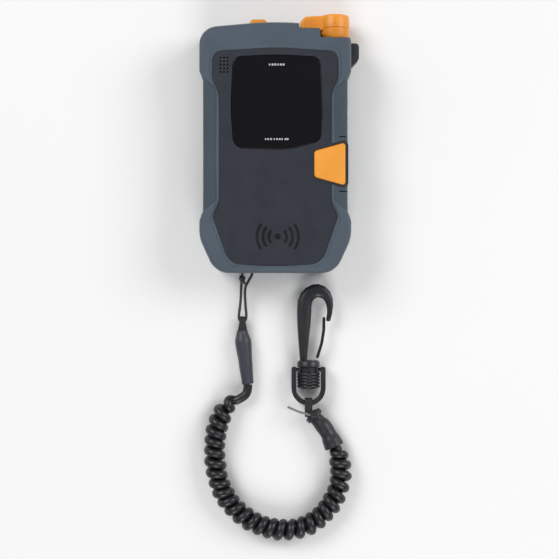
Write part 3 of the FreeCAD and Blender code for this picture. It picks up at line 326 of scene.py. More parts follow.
def grow_ring(bm, edges, ring, places):
    """Extrudes a closed ring of edges, and puts the new vertices at their places in metres."""
    made = bmesh.ops.extrude_edge_only(bm, edges=edges)["geom"]
    fresh = {v for v in made if isinstance(v, bmesh.types.BMVert)}
    ahead = []
    for vert, place in zip(ring, places):
        mate = next(e.other_vert(vert) for e in vert.link_edges if e.other_vert(vert) in fresh)
        mate.co = place
        ahead.append(mate)
    edges = [e for e in made if isinstance(e, bmesh.types.BMEdge) and all(v in fresh for v in e.verts)]
    return edges, ahead


def block(left, foot, right, head, radius):
    """Corners of a rounded rectangle."""
    return [(left, foot, radius), (right, foot, radius), (right, head, radius), (left, head, radius)]


def finish_piece(name, bm, material, body, nodes=(), smooth=True):
    """Turns a bmesh into a piece that rides on a body, with closed seams and outward faces."""
    bmesh.ops.remove_doubles(bm, verts=bm.verts[:], dist=1e-6)
    bmesh.ops.recalc_face_normals(bm, faces=bm.faces[:])
    if smooth:
        for face in bm.faces:
            face.smooth = True
        for edge in bm.edges:
            if len(edge.link_faces) == 2 and edge.calc_face_angle(0.0) > math.radians(32):
                edge.smooth = False
    mesh = bpy.data.meshes.new(name)
    bm.to_mesh(mesh)
    bm.free()
    for each in material if isinstance(material, (list, tuple)) else (material,):
        mesh.materials.append(each)
    piece = linked(name, mesh)
    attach(piece, body)
    if nodes:
        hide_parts(*nodes)
    return piece


def outline_face(bm, corners, height, steps=5):
    """A flat face at a height, from (x, y, radius) corners which it rounds, all in millimetres."""
    verts = [bm.verts.new((x * MM, y * MM, height * MM)) for x, y, _ in corners]
    face = bm.faces.new(verts)
    face.normal_update()
    count = len(corners)
    for i, vert in enumerate(verts):
        radius = corners[i][2] * MM
        if radius <= 0:
            continue
        here = Vector((corners[i][0], corners[i][1], 0)) * MM
        back = Vector((*corners[i - 1][:2], 0)) * MM - here
        ahead = Vector((*corners[(i + 1) % count][:2], 0)) * MM - here
        half = back.angle(ahead) / 2
        reach = min(radius / math.tan(half), 0.45 * min(back.length, ahead.length))
        bmesh.ops.bevel(
            bm, geom=[vert], offset=reach, offset_type="OFFSET", affect="VERTICES",
            segments=steps, profile=0.5, material=-1,
        )
    return bm.faces[:][-1] if len(bm.faces) == 1 else max(bm.faces, key=lambda f: len(f.verts))


def outline_points(corners, steps=5):
    """The rounded outline's points, in order, in millimetres."""
    bm = bmesh.new()
    face = outline_face(bm, corners, 0, steps)
    points = [Vector((v.co.x, v.co.y)) / MM for v in face.verts]
    bm.free()
    return points


def bevel_rim(bm, height, radius, segments=3):
    """Rounds the edges that lie flat at a height, in millimetres."""
    level = height * MM
    rim = [
        e for e in bm.edges
        if all(abs(v.co.z - level) < 1e-6 for v in e.verts)
        and any(abs(f.normal.z) < 0.5 for f in e.link_faces)
    ]
    if rim:
        bmesh.ops.bevel(
            bm, geom=rim, offset=radius * MM, offset_type="OFFSET", affect="EDGES",
            segments=segments, profile=0.5, material=-1, clamp_overlap=True,
        )


def slab(bm, corners, low, high, top_edge=0.0, foot_edge=0.0, segments=3, steps=5):
    """A rounded plate between two heights, its rims rounded by the radii given, in millimetres."""
    part = bmesh.new()
    raise_faces(part, [outline_face(part, corners, low, steps)], (high - low) * MM)
    if top_edge:
        bevel_rim(part, high, top_edge, segments)
    if foot_edge:
        bevel_rim(part, low, foot_edge, segments)
    merge(bm, part)


def merge(bm, part):
    """Adds one bmesh to another and frees it."""
    mesh = bpy.data.meshes.new("scratch")
    part.to_mesh(mesh)
    part.free()
    bm.from_mesh(mesh)
    bpy.data.meshes.remove(mesh)


def turned(bm, profile, origin, axis, steps=32):
    """A solid turned from (radius, distance) places in millimetres along an axis from an origin."""
    part = bmesh.new()
    verts = [part.verts.new((radius * MM, 0, along * MM)) for radius, along in profile]
    edges = [part.edges.new(pair) for pair in zip(verts, verts[1:])]
    bmesh.ops.spin(
        part, geom=verts + edges, cent=(0, 0, 0), axis=(0, 0, 1), dvec=(0, 0, 0),
        angle=2 * math.pi, steps=steps, use_merge=True, use_duplicate=False,
    )
    bmesh.ops.remove_doubles(part, verts=part.verts[:], dist=1e-7)
    bmesh.ops.recalc_face_normals(part, faces=part.faces[:])
    turn = UP.rotation_difference(Vector(axis)).to_matrix().to_4x4()
    bmesh.ops.transform(part, matrix=Matrix.Translation(Vector(origin) * MM) @ turn, verts=part.verts[:])
    merge(bm, part)


def lofted(bm, rings):
    """A closed solid skinned over rings of places in metres, all with as many places."""
    part = bmesh.new()
    ring = [part.verts.new(place) for place in rings[0]]
    edges = [part.edges.new(pair) for pair in ringed(ring)]
    caps = [edges]
    for places in rings[1:]:
        edges, ring = grow_ring(part, edges, ring, places)
    caps.append(edges)
    for rim in caps:
        bmesh.ops.contextual_create(part, geom=rim)
    bmesh.ops.recalc_face_normals(part, faces=part.faces[:])
    merge(bm, part)


def cut_away(piece, cutter_corners, low, high):
    """Takes a rounded plate's volume out of a piece."""
    bm = bmesh.new()
    slab(bm, cutter_corners, low, high)
    mesh = bpy.data.meshes.new("cutter")
    bm.to_mesh(mesh)
    bm.free()
    cutter = linked("cutter", mesh)
    taken = piece.modifiers.new("cut", "BOOLEAN")
    taken.operation = "DIFFERENCE"
    taken.solver = "EXACT"
    taken.object = cutter
    shaped = evaluated_mesh(piece)
    shaped.name = piece.name
    piece.modifiers.clear()
    piece.data = shaped
    bpy.data.objects.remove(cutter)
    bpy.data.meshes.remove(mesh)


# ---------------------------------------------------------------- outlines of the case


def mirrored(half):
    """Corners of the left half, top to bottom, with the right half added. Those at x = 0 aren't repeated."""
    return half + [(-x, y, r) for x, y, r in reversed(half) if x]


CASE_OUTLINE = mirrored([
    (0, HEAD + 0.6, 120),
    (-HALF_WIDTH, HEAD - 2.6, 8.5),
    (-HALF_WIDTH, HEAD - 23.4, 4),
    (-WAIST, HEAD - 26.6, 4),
    (-WAIST, FOOT + 29.0, 6),
    (-HALF_WIDTH, FOOT + 24.4, 6),
    (-HALF_WIDTH, FOOT + 16.6, 15),
    (-HALF_WIDTH + 7.6, FOOT, 9.5),
])

PANEL_SIDE = HALF_WIDTH - 6.6
PANEL_OUTLINE = mirrored([
    (0, HEAD - 12.2, 100),
    (-PANEL_SIDE - 0.2, HEAD - 14.0, 4.5),
    (-PANEL_SIDE - 0.5, HEAD - 26.4, 8),
    (8.0 - WAIST, HEAD - 34.6, 10),
    (8.0 - WAIST, FOOT + 33.6, 10),
    (-PANEL_SIDE - 0.4, FOOT + 27.0, 5),
    (14.2 - HALF_WIDTH, FOOT + 4.4, 7.5),
    (0, FOOT + 3.0, 120),
])

NOTCH_X = HALF_WIDTH - 14.7
NOTCH_Y = HEAD - 7.5
STEP_X = HALF_WIDTH - 24.6
STEP_Y = HEAD - 3.1
NOTCH = [
    (HALF_WIDTH + 12, NOTCH_Y, 0.3),
    (HALF_WIDTH + 12, HEAD + 12, 0.3),
    (STEP_X, HEAD + 12, 0.3),
    (STEP_X, STEP_Y, 0.8),
    (NOTCH_X, STEP_Y, 0.8),
    (NOTCH_X, NOTCH_Y, 0.8),
]

OPTION_RIGHT = option_high.x / MM
OPTION_LEFT = option_low.x / MM
OPTION_Y = (option_low.y + option_high.y) / 2 / MM
OPTION_FLOOR = option_low.z / MM - 1.4
GROOVE_AWAY = 12.9
LEVER_INSET = 7.35
RIB_HALF = 0.35


def option_outline(grown=0.0):
    """The option button's wedge, or the edge of its surround where it is grown."""
    tall, short = 10.3 + grown, 6.2 + grown * 0.8
    return [
        (OPTION_RIGHT + grown, OPTION_Y + tall, 1.4 + grown),
        (OPTION_LEFT - grown, OPTION_Y + short, 1.8 + grown),
        (OPTION_LEFT - grown, OPTION_Y - short, 1.8 + grown),
        (OPTION_RIGHT + grown, OPTION_Y - tall, 1.4 + grown),
    ]


def ease(value, low, high):
    """A smooth step from 0 at low to 1 at high."""
    t = max(0.0, min(1.0, (value - low) / (high - low)))
    return t * t * (3 - 2 * t)


def crossing(loop, direction):
    """Where a ray from the case's middle crosses a closed outline."""
    for a, b in ringed(loop):
        edge = b - a
        across = direction.x * edge.y - direction.y * edge.x
        if abs(across) < 1e-12:
            continue
        along = (a.x * edge.y - a.y * edge.x) / across
        share = (a.x * direction.y - a.y * direction.x) / across
        if along > 0 and -1e-9 <= share <= 1 + 1e-9:
            return direction * along
    raise RuntimeError("the outline doesn't go round the middle")


# ---------------------------------------------------------------- bumper frame

GRIP_TOP = HEAD - 25.2
GRIP_FOOT = FOOT + 28.2
BUMPER_WALL = 2.2
LIP = 1.5
STATION_STEP = 1.0


def grip_share(x, y):
    """How far a place on the frame lies in a side grip, from 0 to 1."""
    bow = 0.10 * (WAIST - abs(x))
    above_foot = ease(y, GRIP_FOOT - 0.6 - bow, GRIP_FOOT + 0.6 - bow)
    return above_foot * (1 - ease(y, GRIP_TOP - 0.6 + bow, GRIP_TOP + 0.6 + bow))


def frame_section(outer, inner):
    """The frame's section at one station, from its outer foot over the crest and lip and back beneath."""
    inward = inner - outer
    width = inward.length
    inward.normalize()
    grip = grip_share(*outer)
    drop = sizes().grip_drop / MM * grip
    pinch = 0.45 * grip
    crest = FRONT - 0.02
    round_off = 2.9
    lip_high = crest - 0.05
    places = [(0, SEAM + 0.06), (0.12, SEAM + 0.5), (0.12 + pinch, SEAM + 1.1)]
    places.append((pinch * 0.9, crest - round_off - drop))
    for step in range(1, 6):
        turn = step / 5 * math.pi / 2
        across = pinch + round_off * (1 - math.cos(turn))
        places.append((across, crest - drop - round_off * (1 - math.sin(turn))))
    shelf = width - LIP
    places += [
        (max(shelf - 0.75, round_off + pinch + 0.2), crest - drop - 0.05),
        (shelf - 0.25, crest - drop * 0.8 - 0.1 - 0.25 * (1 - grip)),
        (shelf + 0.1, lip_high - 0.12),
        (shelf + 0.55, lip_high),
        (width - 0.55, lip_high - 0.06),
        (width - 0.16, lip_high - 0.35),
        (width + 0.02, lip_high - 0.95),
        (width + 0.02, FACE - 1.6),
        (BUMPER_WALL - 0.05, FACE - 1.6),
        (BUMPER_WALL - 0.05, SEAM + 0.06),
    ]
    return [(outer + inward * across, height) for across, height in places]


class TRANSCEIVER_OT_bumper_frame(bpy.types.Operator):
    """Makes the rubber bumper frame with its recessed side grips and raised lip."""

    bl_idname = "transceiver.bumper_frame"
    bl_label = "Bumper frame"

    def execute(self, context):
        rough = outline_points(CASE_OUTLINE, 8)
        stations = []
        for a, b in ringed(rough):
            pieces = max(1, round((b - a).length / STATION_STEP))
            stations += [a.lerp(b, i / pieces) for i in range(pieces)]
        panel = outline_points(PANEL_OUTLINE, 8)
        sections = [frame_section(p, crossing(panel, p.normalized())) for p in stations]
        levels = [[(p.x * MM, p.y * MM, z * MM) for p, z in level] for level in zip(*sections)]
        bm = bmesh.new()
        ring = [bm.verts.new(place) for place in levels[0]]
        first = [bm.edges.new(pair) for pair in ringed(ring)]
        edges = first
        for places in levels[1:]:
            edges, ring = grow_ring(bm, edges, ring, places)
        bmesh.ops.bridge_loops(bm, edges=first + edges)
        bm.normal_update()
        for face in bm.faces:
            middle = face.calc_center_median() / MM
            outwards = middle.xy.normalized()
            edge_point = crossing(rough, outwards)
            on_top = middle.z > SEAM + 1.0 and (middle.xy - crossing(panel, outwards)).length > LIP + 0.2
            # Top faces of the side grips take the darker grip rubber, which paints the shade of their lower,
            # sloping surface
            face.material_index = 1 if on_top and grip_share(*edge_point) > 0.5 else 0
        shade = colours()
        skin = rubbery("bumper_rubber", shade.slate, 0.56)
        # Darker grip rubber: painted shade of the recessed side grips
        grip = rubbery("grip_rubber_painted_shade", shade.grip, 0.62)
        piece = finish_piece(
            "bumper_frame_moulding", bm, [skin, grip], "case", ["bumper_frame"]
        )
        cut_away(piece, option_outline(1.36), OPTION_FLOOR - 1.1, FRONT + 2)
        cut_away(piece, NOTCH, SEAM - 2, FRONT + 2)
        for y in (OPTION_Y + GROOVE_AWAY, OPTION_Y - GROOVE_AWAY):
            cut_away(piece, block(WAIST - 4.4, y - 0.28, WAIST + 2, y + 0.28, 0.1), FRONT - 4.2, FRONT + 2)
        return {"FINISHED"}


# ---------------------------------------------------------------- front, window and controls


class TRANSCEIVER_OT_front_details(bpy.types.Operator):
    """Makes the raised emblem on the front and the printed marks on the window."""

    bl_idname = "transceiver.front_details"
    bl_label = "Front emblem and window marks"

    def execute(self, context):
        shade = colours()
        ink = moulded("emblem_black", shade.ink, 0.35)
        low, high = FACE - 0.1, FACE + 0.12
        centre_x, centre_y = 1.2, FOOT + 17.2
        bm = bmesh.new()
        dot = [(0, low), (1.5, low), (1.5, high - 0.15), (1.35, high), (0, high)]
        turned(bm, dot, (centre_x, centre_y, 0), UP, 24)
        for reach in (4.2, 7.0, 9.8):
            for side in (0, 1):
                part = bmesh.new()
                half = 0.72
                section = (
                    (-half, low), (half, low), (half, high - 0.12), (half - 0.15, high),
                    (0.15 - half, high), (-half, high - 0.12),
                )
                verts = [part.verts.new(((reach + across) * MM, 0, z * MM)) for across, z in section]
                face = part.faces.new(verts)
                spread = math.radians(96 - reach * 2.2)
                start = Matrix.Rotation(side * math.pi - spread / 2, 3, "Z")
                bmesh.ops.rotate(part, verts=part.verts[:], cent=(0, 0, 0), matrix=start)
                bmesh.ops.spin(
                    part, geom=[face], cent=(0, 0, 0), axis=(0, 0, 1), dvec=(0, 0, 0), angle=spread,
                    steps=14, use_merge=False, use_duplicate=False,
                )
                bmesh.ops.recalc_face_normals(part, faces=part.faces[:])
                bmesh.ops.translate(part, verts=part.verts[:], vec=(centre_x * MM, centre_y * MM, 0))
                merge(bm, part)
        finish_piece("front_emblem", bm, ink, "case")

        printed = moulded("printed_marks", shade.mark, 0.5, 1800.0, 0.00001)
        bm = bmesh.new()
        rows = (
            (lens_high.y / MM - 4.6, (-3.3, -1.9, -0.6, 0.7, 2.0, 3.3), 0.85, 0.95),
            (lens_low.y / MM + 4.9, (-5.2, -4.0, -2.6, -1.1, 0.2, 1.5, 2.6, 4.2, 5.2), 0.8, 0.85),
        )
        middle = (lens_low.x + lens_high.x) / 2 / MM
        for y, places, width, height in rows:
            for number, x in enumerate(places):
                wide = width * (1.15 if number % 3 else 0.8)
                left, foot = middle + x - wide / 2, y - height / 2
                dash = block(left, foot, middle + x + wide / 2, y + height / 2, 0.2)
                slab(bm, dash, FACE - 0.05, FACE + 0.03, steps=3)
        finish_piece("window_marks", bm, printed, "case")
        return {"FINISHED"}


class TRANSCEIVER_OT_option_button(bpy.types.Operator):
    """Makes the wedge-shaped option button with its shallow thumb dish."""

    bl_idname = "transceiver.option_button"
    bl_label = "Option button"

    def execute(self, context):
        top = option_high.z / MM
        bm = bmesh.new()
        face = outline_face(bm, option_outline(), option_low.z / MM, 6)
        raise_faces(bm, [face], (top - option_low.z / MM) * MM)
        bevel_rim(bm, top, 0.9, 5)
        crown = max((f for f in bm.faces if f.normal.z > 0.9), key=lambda f: f.calc_area())
        centre = crown.calc_center_median()
        for share, drop in ((0.86, 0.02), (0.88, 0.08), (0.84, 0.09), (0.75, 0.07), (0.6, 0.04)):
            crown = bmesh.ops.extrude_discrete_faces(bm, faces=[crown])["faces"][0]
            bmesh.ops.scale(bm, verts=crown.verts, vec=(share, share, 1), space=Matrix.Translation(-centre))
            bmesh.ops.translate(bm, verts=crown.verts, vec=(0, 0, -drop * MM))
        amber = moulded("option_amber", colours().amber, 0.42)
        finish_piece(
            "option_button_moulding", bm, amber, "option_button", ["option_button"]
        )
        return {"FINISHED"}


class TRANSCEIVER_OT_mode_lever(bpy.types.Operator):
    """Makes the mode lever: a ribbed hub and a finger with a rounded tip."""

    bl_idname = "transceiver.mode_lever"
    bl_label = "Mode lever"

    def execute(self, context):
        axis_x = HALF_WIDTH - LEVER_INSET
        axis_z = (lever_low.z + lever_high.z) / 2 / MM
        foot, head = lever_low.y / MM, lever_high.y / MM
        radius = (lever_high.z - lever_low.z) / 2 / MM
        long = head - foot
        bm = bmesh.new()
        turned(bm, [
            (0, 0), (radius - 1.6, 0), (radius - 0.9, 0.25), (radius - 0.35, 0.9), (radius, 2.0),
            (radius, 5.0), (radius - 0.35, 5.25), (radius - 0.35, 5.75), (radius, 6.0),
            (radius, long - 1.4), (radius - 0.4, long - 0.4), (radius - 1.3, long), (radius - 2.4, long),
            (radius - 2.6, long - 0.4), (1.6, long - 0.4), (1.4, long - 0.1), (0, long - 0.1),
        ], (axis_x, foot, axis_z), (0, 1, 0), 56)
        tip = lever_low.x / MM
        low = STEP_Y + 0.4
        finger = [
            (tip, low, 2.8),
            (axis_x - 2, low, 1),
            (axis_x - 2, head - 0.5, 1),
            (axis_x - 8.6, low + 7.2, 4),
            (tip + 2.2, low + 6.8, 2.4),
            (tip, low + 4.2, 2.4),
        ]
        slab(bm, finger, axis_z - 4.5, axis_z + 4.5, top_edge=1.3, foot_edge=1.3, segments=4)
        for number in range(4):
            x = tip + 2.6 + number * 1.5
            rib = block(x - RIB_HALF, low + 1.3, x + RIB_HALF, low + 5.4, 0.3)
            slab(bm, rib, axis_z + 4.2, axis_z + 4.8, top_edge=0.2)
        pointer = block(axis_x - 0.6, foot + 7.2, axis_x + 0.6, head - 1.7, 0.5)
        slab(bm, pointer, axis_z + radius - 0.6, axis_z + radius + 0.12, top_edge=0.25)
        orange = moulded("lever_orange", colours().orange, 0.40)
        finish_piece("mode_lever_moulding", bm, orange, "mode_lever", ["mode_lever"])
        return {"FINISHED"}


class TRANSCEIVER_OT_small_controls(bpy.types.Operator):
    """Makes the top button and the ridged lock tab."""

    bl_idname = "transceiver.small_controls"
    bl_label = "Top button and lock tab"

    def execute(self, context):
        shade = colours()
        low, high = (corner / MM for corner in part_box("top_button"))
        x = (low.x + high.x) / 2
        half = (high.x - low.x) / 2
        bm = bmesh.new()
        slab(bm, [
            (x - half, low.y, 0.4), (x + half, low.y, 0.4), (x + half, HEAD + 0.3, 1.0),
            (x + half - 1.7, high.y, 1.4), (x - half + 1.7, high.y, 1.4), (x - half, HEAD + 0.3, 1.0),
        ], low.z, high.z, top_edge=0.9, foot_edge=0.9, segments=4)
        orange = moulded("button_orange", shade.orange, 0.42)
        finish_piece("top_button_moulding", bm, orange, "top_button", ["top_button"])

        low, high = (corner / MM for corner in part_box("lock_tab"))
        bm = bmesh.new()
        slab(bm, [
            (low.x, low.y, 0.4), (HALF_WIDTH + 0.6, low.y, 0.8), (high.x, low.y + 3.6, 3),
            (high.x, high.y, 1.8), (low.x, high.y, 0.4),
        ], low.z, high.z, top_edge=0.8, foot_edge=0.8, segments=4)
        outwards = Matrix.Rotation(math.pi / 2, 3, "Y") @ Matrix.Rotation(math.pi / 2, 3, "Z")
        for number in range(4):
            y = low.y + 4.6 + number * 1.6
            part = bmesh.new()
            slab(part, block(-RIB_HALF, low.z + 1.2, RIB_HALF, high.z - 1.2, 0.3), -0.4, 0.3, top_edge=0.2)
            bmesh.ops.rotate(part, verts=part.verts[:], cent=(0, 0, 0), matrix=outwards)
            middle = sum((v.co for v in part.verts), Vector()) / len(part.verts)
            place = Vector((high.x - 0.1, y, (low.z + high.z) / 2)) * MM
            bmesh.ops.translate(part, verts=part.verts[:], vec=place - middle)
            merge(bm, part)
        black = moulded("lock_tab_black", shade.tab, 0.5)
        finish_piece("lock_tab_moulding", bm, black, "lock_tab", ["lock_tab"])
        return {"FINISHED"}


# ---------------------------------------------------------------- cords

EYE_X = POST_X - 2.5
EYE_Y = FOOT - 23.6
POST_Y = FOOT + 3.6
POST_Z = 7.5
THREAD_Z = LEAD_Z + 0.6
WRAP = 2.35

LOOP_ROUTE = [
    (POST_X - 2.9, FOOT - 4.2, POST_Z - 0.4),
    (EYE_X - 0.6, FOOT - 7.8, THREAD_Z + 1.45),
    (EYE_X - 1.0, FOOT - 15.0, THREAD_Z + 0.1),
    (EYE_X - 2.2, EYE_Y, THREAD_Z),
    (EYE_X + 2.2, EYE_Y, THREAD_Z),
    (EYE_X + 1.4, FOOT - 15.2, THREAD_Z + 0.1),
    (EYE_X + 1.05, FOOT - 7.2, THREAD_Z + 1.6),
    (EYE_X + 3.2, FOOT - 3.5, POST_Z - 0.2),
    (EYE_X + 5.1, FOOT - 0.2, POST_Z),
    (POST_X + WRAP, POST_Y + WRAP, POST_Z),
    (POST_X - WRAP, POST_Y + WRAP, POST_Z),
    (POST_X - WRAP - 0.1, POST_Y - 1.4, POST_Z - 0.05),
    (POST_X - WRAP - 0.1, FOOT - 0.8, POST_Z - 0.2),
]

LEAD_ROUTE = [
    (EYE_X + 2.62, EYE_Y - 30.6, LEAD_Z),
    (EYE_X + 2.6, EYE_Y - 34.8, LEAD_Z),
    (EYE_X - 0.8, EYE_Y - 37.4, LEAD_Z + 0.2),
    (EYE_X - 5.8, EYE_Y - 39.2, LEAD_Z + 0.6),
    (EYE_X - 8.3, EYE_Y - 40.7, COIL_Z - 0.4),
]

COIL_ROUTE = [
    (POST_X - 10.9, FOOT - 65.8, COIL_Z),
    (POST_X - 14.9, FOOT - 73.8, COIL_Z),
    (POST_X - 16.4, FOOT - 86.4, COIL_Z),
    (POST_X - 15.0, FOOT - 99.4, COIL_Z),
    (POST_X - 9.7, FOOT - 111.1, COIL_Z),
    (POST_X + 0.5, FOOT - 120.6, COIL_Z),
    (POST_X + 14.5, FOOT - 125.2, COIL_Z),
    (POST_X + 28.3, FOOT - 124.0, COIL_Z),
    (POST_X + 38.3, FOOT - 115.9, COIL_Z),
    (POST_X + 44.7, FOOT - 105.1, COIL_Z),
    (POST_X + 45.9, FOOT - 94.0, COIL_Z),
    (POST_X + 43.1, FOOT - 84.9, COIL_Z),
]


def spline_curve(name, route, radius=0.0):
    """A cord's curve: one open NURBS spline with the route's places as its control points."""
    curve = bpy.data.curves.new(name, "CURVE")
    curve.dimensions = "3D"
    curve.resolution_u = 12
    curve.bevel_depth = radius
    curve.bevel_resolution = 5
    curve.use_fill_caps = True
    spline = curve.splines.new("NURBS")
    spline.points.add(len(route) - 1)
    for point, place in zip(spline.points, route):
        point.co = (*[c * MM for c in place], 1)
    spline.order_u = 3
    spline.use_endpoint_u = True
    return curve


def mesh_of_curve(curve):
    """A curve's mesh. The curve itself is removed."""
    holder = linked(curve.name, curve)
    mesh = evaluated_mesh(holder)
    bpy.data.objects.remove(holder)
    bpy.data.curves.remove(curve)
    return mesh


def line_of(route):
    """Places along a route's smooth line, in metres, as the curve gives them."""
    curve = spline_curve("route", route)
    mesh = mesh_of_curve(curve)
    places = [v.co.copy() for v in mesh.vertices]
    bpy.data.meshes.remove(mesh)
    return places


def place_on(line, along):
    """The place and heading at a distance along a line, in metres."""
    for a, b in zip(line, line[1:]):
        step = (b - a).length
        if along <= step or b is line[-1]:
            return a.lerp(b, along / step), (b - a).normalized()
        along -= step


def length_of(line):
    """A line's length, in metres."""
    return sum((b - a).length for a, b in zip(line, line[1:]))


def tube_along(name, line, radius, sides=6):
    """A closed round tube along a line, as a mesh."""
    curve = bpy.data.curves.new(name, "CURVE")
    curve.dimensions = "3D"
    curve.bevel_depth = radius
    curve.bevel_resolution = sides
    curve.use_fill_caps = True
    spline = curve.splines.new("POLY")
    spline.points.add(len(line) - 1)
    for point, place in zip(spline.points, line):
        point.co = (*place, 1)
    mesh = mesh_of_curve(curve)
    bm = bmesh.new()
    bm.from_mesh(mesh)
    bpy.data.meshes.remove(mesh)
    return bm


TURN_STEPS = 28
FIRST_TURN = math.radians(200)
COIL_START = 8.0
COIL_RAMP = 11.0
LEAD_STEP = 0.7
END_TAPER = 6


def helix_line():
    """The coiled cord's middle line: straight from its sleeve, then left-handed turns to the next."""
    spine = line_of(LEAD_ROUTE + COIL_ROUTE)
    total = length_of(spine)
    radius, pitch = sizes().helix, sizes().pitch
    places = []
    along, turn = 0.0, FIRST_TURN
    while along < total:
        middle, heading = place_on(spine, along)
        side = heading.cross(UP).normalized()
        above = side.cross(heading).normalized()
        grown = ease(along, COIL_START * MM, (COIL_START + COIL_RAMP) * MM)
        shrunk = 1 - 0.55 * ease(along, total - END_TAPER * MM, total)
        wander = 1 + 0.035 * math.sin(turn * 0.31) + 0.02 * math.sin(turn * 0.83)
        reach = radius * grown * shrunk * wander
        places.append(middle + side * (reach * math.cos(turn)) + above * (reach * math.sin(turn)))
        if grown <= 0:
            along += LEAD_STEP * MM
        else:
            stretch = 1 + 0.06 * math.sin(turn * 0.17)
            along += pitch * stretch / TURN_STEPS * (1 + 1.2 * (1 - grown))
            turn += 2 * math.pi / TURN_STEPS
    return places


class TRANSCEIVER_OT_coiled_cord(bpy.types.Operator):
    bl_idname = "transceiver.coiled_cord"
    bl_label = "Coiled cord"

    def execute(self, context):
        line = helix_line()
        bm = tube_along("coiled_cord", line, sizes().cord / 2, 5)
        made, tree, shader = blank_material("coil_polyurethane", colours().cord, 0.34)
        shader.inputs["Specular IOR Level"].default_value = 0.5
        scuffs = noise(tree, 420.0, 5.0)
        drift = noise(tree, 90.0, 3.0)
        tint_between(tree, drift, shader, colours().cord, 0.2)
        shade_between(tree, scuffs, shader, 0.28, 0.46)
        relief(tree, shader, [(scuffs, 0.00005, 0.3)])
        piece = finish_piece("coiled_cord", bm, made, "case", ["cord_lead", "cord_coil"])
        return {"FINISHED"}


class TRANSCEIVER_OT_thin_loop(bpy.types.Operator):
    """Makes the thin loop that ties the lanyard to the case, and its knot."""

    bl_idname = "transceiver.thin_loop"
    bl_label = "Thin loop and knot"

    def execute(self, context):
        shade = colours()
        thread = braided("loop_braid", shade.thread, 0.6)
        curve = spline_curve("thin_loop", LOOP_ROUTE, sizes().loop / 2)
        curve.materials.append(thread)
        loop = linked("thin_loop", curve)
        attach(loop, "case")
        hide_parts("lanyard_loop")
        low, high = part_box("loop_knot")
        middle = Vector(((low.x + high.x) / 2, high.y - 1.7 * MM, (low.z + high.z) / 2 - 0.1 * MM))
        bm = bmesh.new()
        wraps = ((0.35, 0.0, 0.25, 0.95), (-0.5, 1.1, -0.2, 0.9), (1.35, 2.3, 0.0, 0.8))
        for tilt, spin, lift, reach in wraps:
            lean = Matrix.Rotation(spin, 3, "Z") @ Matrix.Rotation(tilt, 3, "X")
            ring = []
            for a in (i / 24 * 2 * math.pi for i in range(25)):
                oval = (math.cos(a) * reach * MM, math.sin(a) * reach * MM * 1.15)
                ring.append(middle + lean @ Vector((*oval, lift * MM * math.sin(2 * a))))
            merge(bm, tube_along("wrap", ring, sizes().loop * 0.5, 4))
        tail = [middle + Vector(p) * MM for p in ((0.4, -0.6, 0.5), (0.9, -1.6, 0.7), (1.1, -2.9, 0.6))]
        merge(bm, tube_along("tail", tail, sizes().loop * 0.42, 4))
        knot = finish_piece("loop_knot_wraps", bm, thread, "case", ["loop_knot"])
        line = line_of(LOOP_ROUTE)
        return {"FINISHED"}


# ---------------------------------------------------------------- sleeves, eyes and tie


SLEEVE_STATIONS = 60


def round_angles(count):
    """Even angles round a full turn."""
    return [step / count * 2 * math.pi for step in range(count)]


def eased(table, share):
    """A value eased between (share, value) places."""
    for (low, first), (high, second) in zip(table, table[1:]):
        if share <= high:
            t = (share - low) / (high - low)
            return first + (second - first) * t * t * (3 - 2 * t)
    return table[-1][1]


def shrunk_sleeve(name, line, radii, material, node):
    """A shrink sleeve along a line, its radius eased between (share, radius) places, slightly lumpy."""
    total = length_of(line)
    rings = []
    for station in range(SLEEVE_STATIONS + 1):
        share = station / SLEEVE_STATIONS
        place, ahead = place_on(line, total * share * 0.9999)
        side = ahead.cross(UP).normalized()
        above = side.cross(ahead).normalized()
        radius = eased(radii, share) * MM
        round_off = min(share, 1 - share) * total / MM
        radius -= 0.5 * MM * max(0.0, 1 - round_off / 0.5) ** 2
        ring = []
        for angle in round_angles(36):
            crease = 1 + 0.02 * math.sin(2 * angle + share * 7) + 0.008 * math.sin(5 * angle + share * 19)
            ring.append(place + (side * math.cos(angle) + above * math.sin(angle)) * radius * crease)
        rings.append(ring)
    bm = bmesh.new()
    lofted(bm, rings)
    return finish_piece(name, bm, material, "case", [node])


def strap_fold(name, x, y_low, y_high, z, width, height, material, node, pinch=1.0):
    """A folded strap's closed loop, standing across the cord, narrowed towards its far end."""
    part = bmesh.new()
    face = outline_face(part, block(y_low, z - height / 2, y_high, z + height / 2, 1.8), 0, 6)
    bmesh.ops.inset_region(
        part, faces=[face], thickness=0.85 * MM, depth=0, use_even_offset=True, use_boundary=True
    )
    bmesh.ops.delete(part, geom=[face], context="FACES")
    raise_faces(part, part.faces[:], width * MM)
    flat = [e for e in part.edges if len(e.link_faces) == 2 and e.calc_face_angle(0.0) > math.radians(60)]
    bmesh.ops.bevel(
        part, geom=flat, offset=0.25 * MM, offset_type="OFFSET", affect="EDGES", segments=2, profile=0.5,
        material=-1, clamp_overlap=True,
    )
    for vert in part.verts:
        across, along, height_here = vert.co.z - width / 2 * MM, vert.co.x, vert.co.y
        share = ease(along / MM, y_low, y_high)
        vert.co = (x * MM + across * (1 + (pinch - 1) * share), along, height_here)
    return finish_piece(name, part, material, "case", [node])


def shrink_finish(name, colour):
    """Shrunk polyolefin: satin, with fine creases along the sleeve."""
    made, tree, shader = blank_material(name, colour, 0.42)
    streaks = noise(tree, 240.0, 4.0, (2.0, 0.5, 2.0))
    drift = noise(tree, 60.0, 3.0)
    tint_between(tree, drift, shader, colour, 0.18)
    shade_between(tree, streaks, shader, 0.38, 0.50)
    relief(tree, shader, [(streaks, 0.00004, 0.4)])
    return made


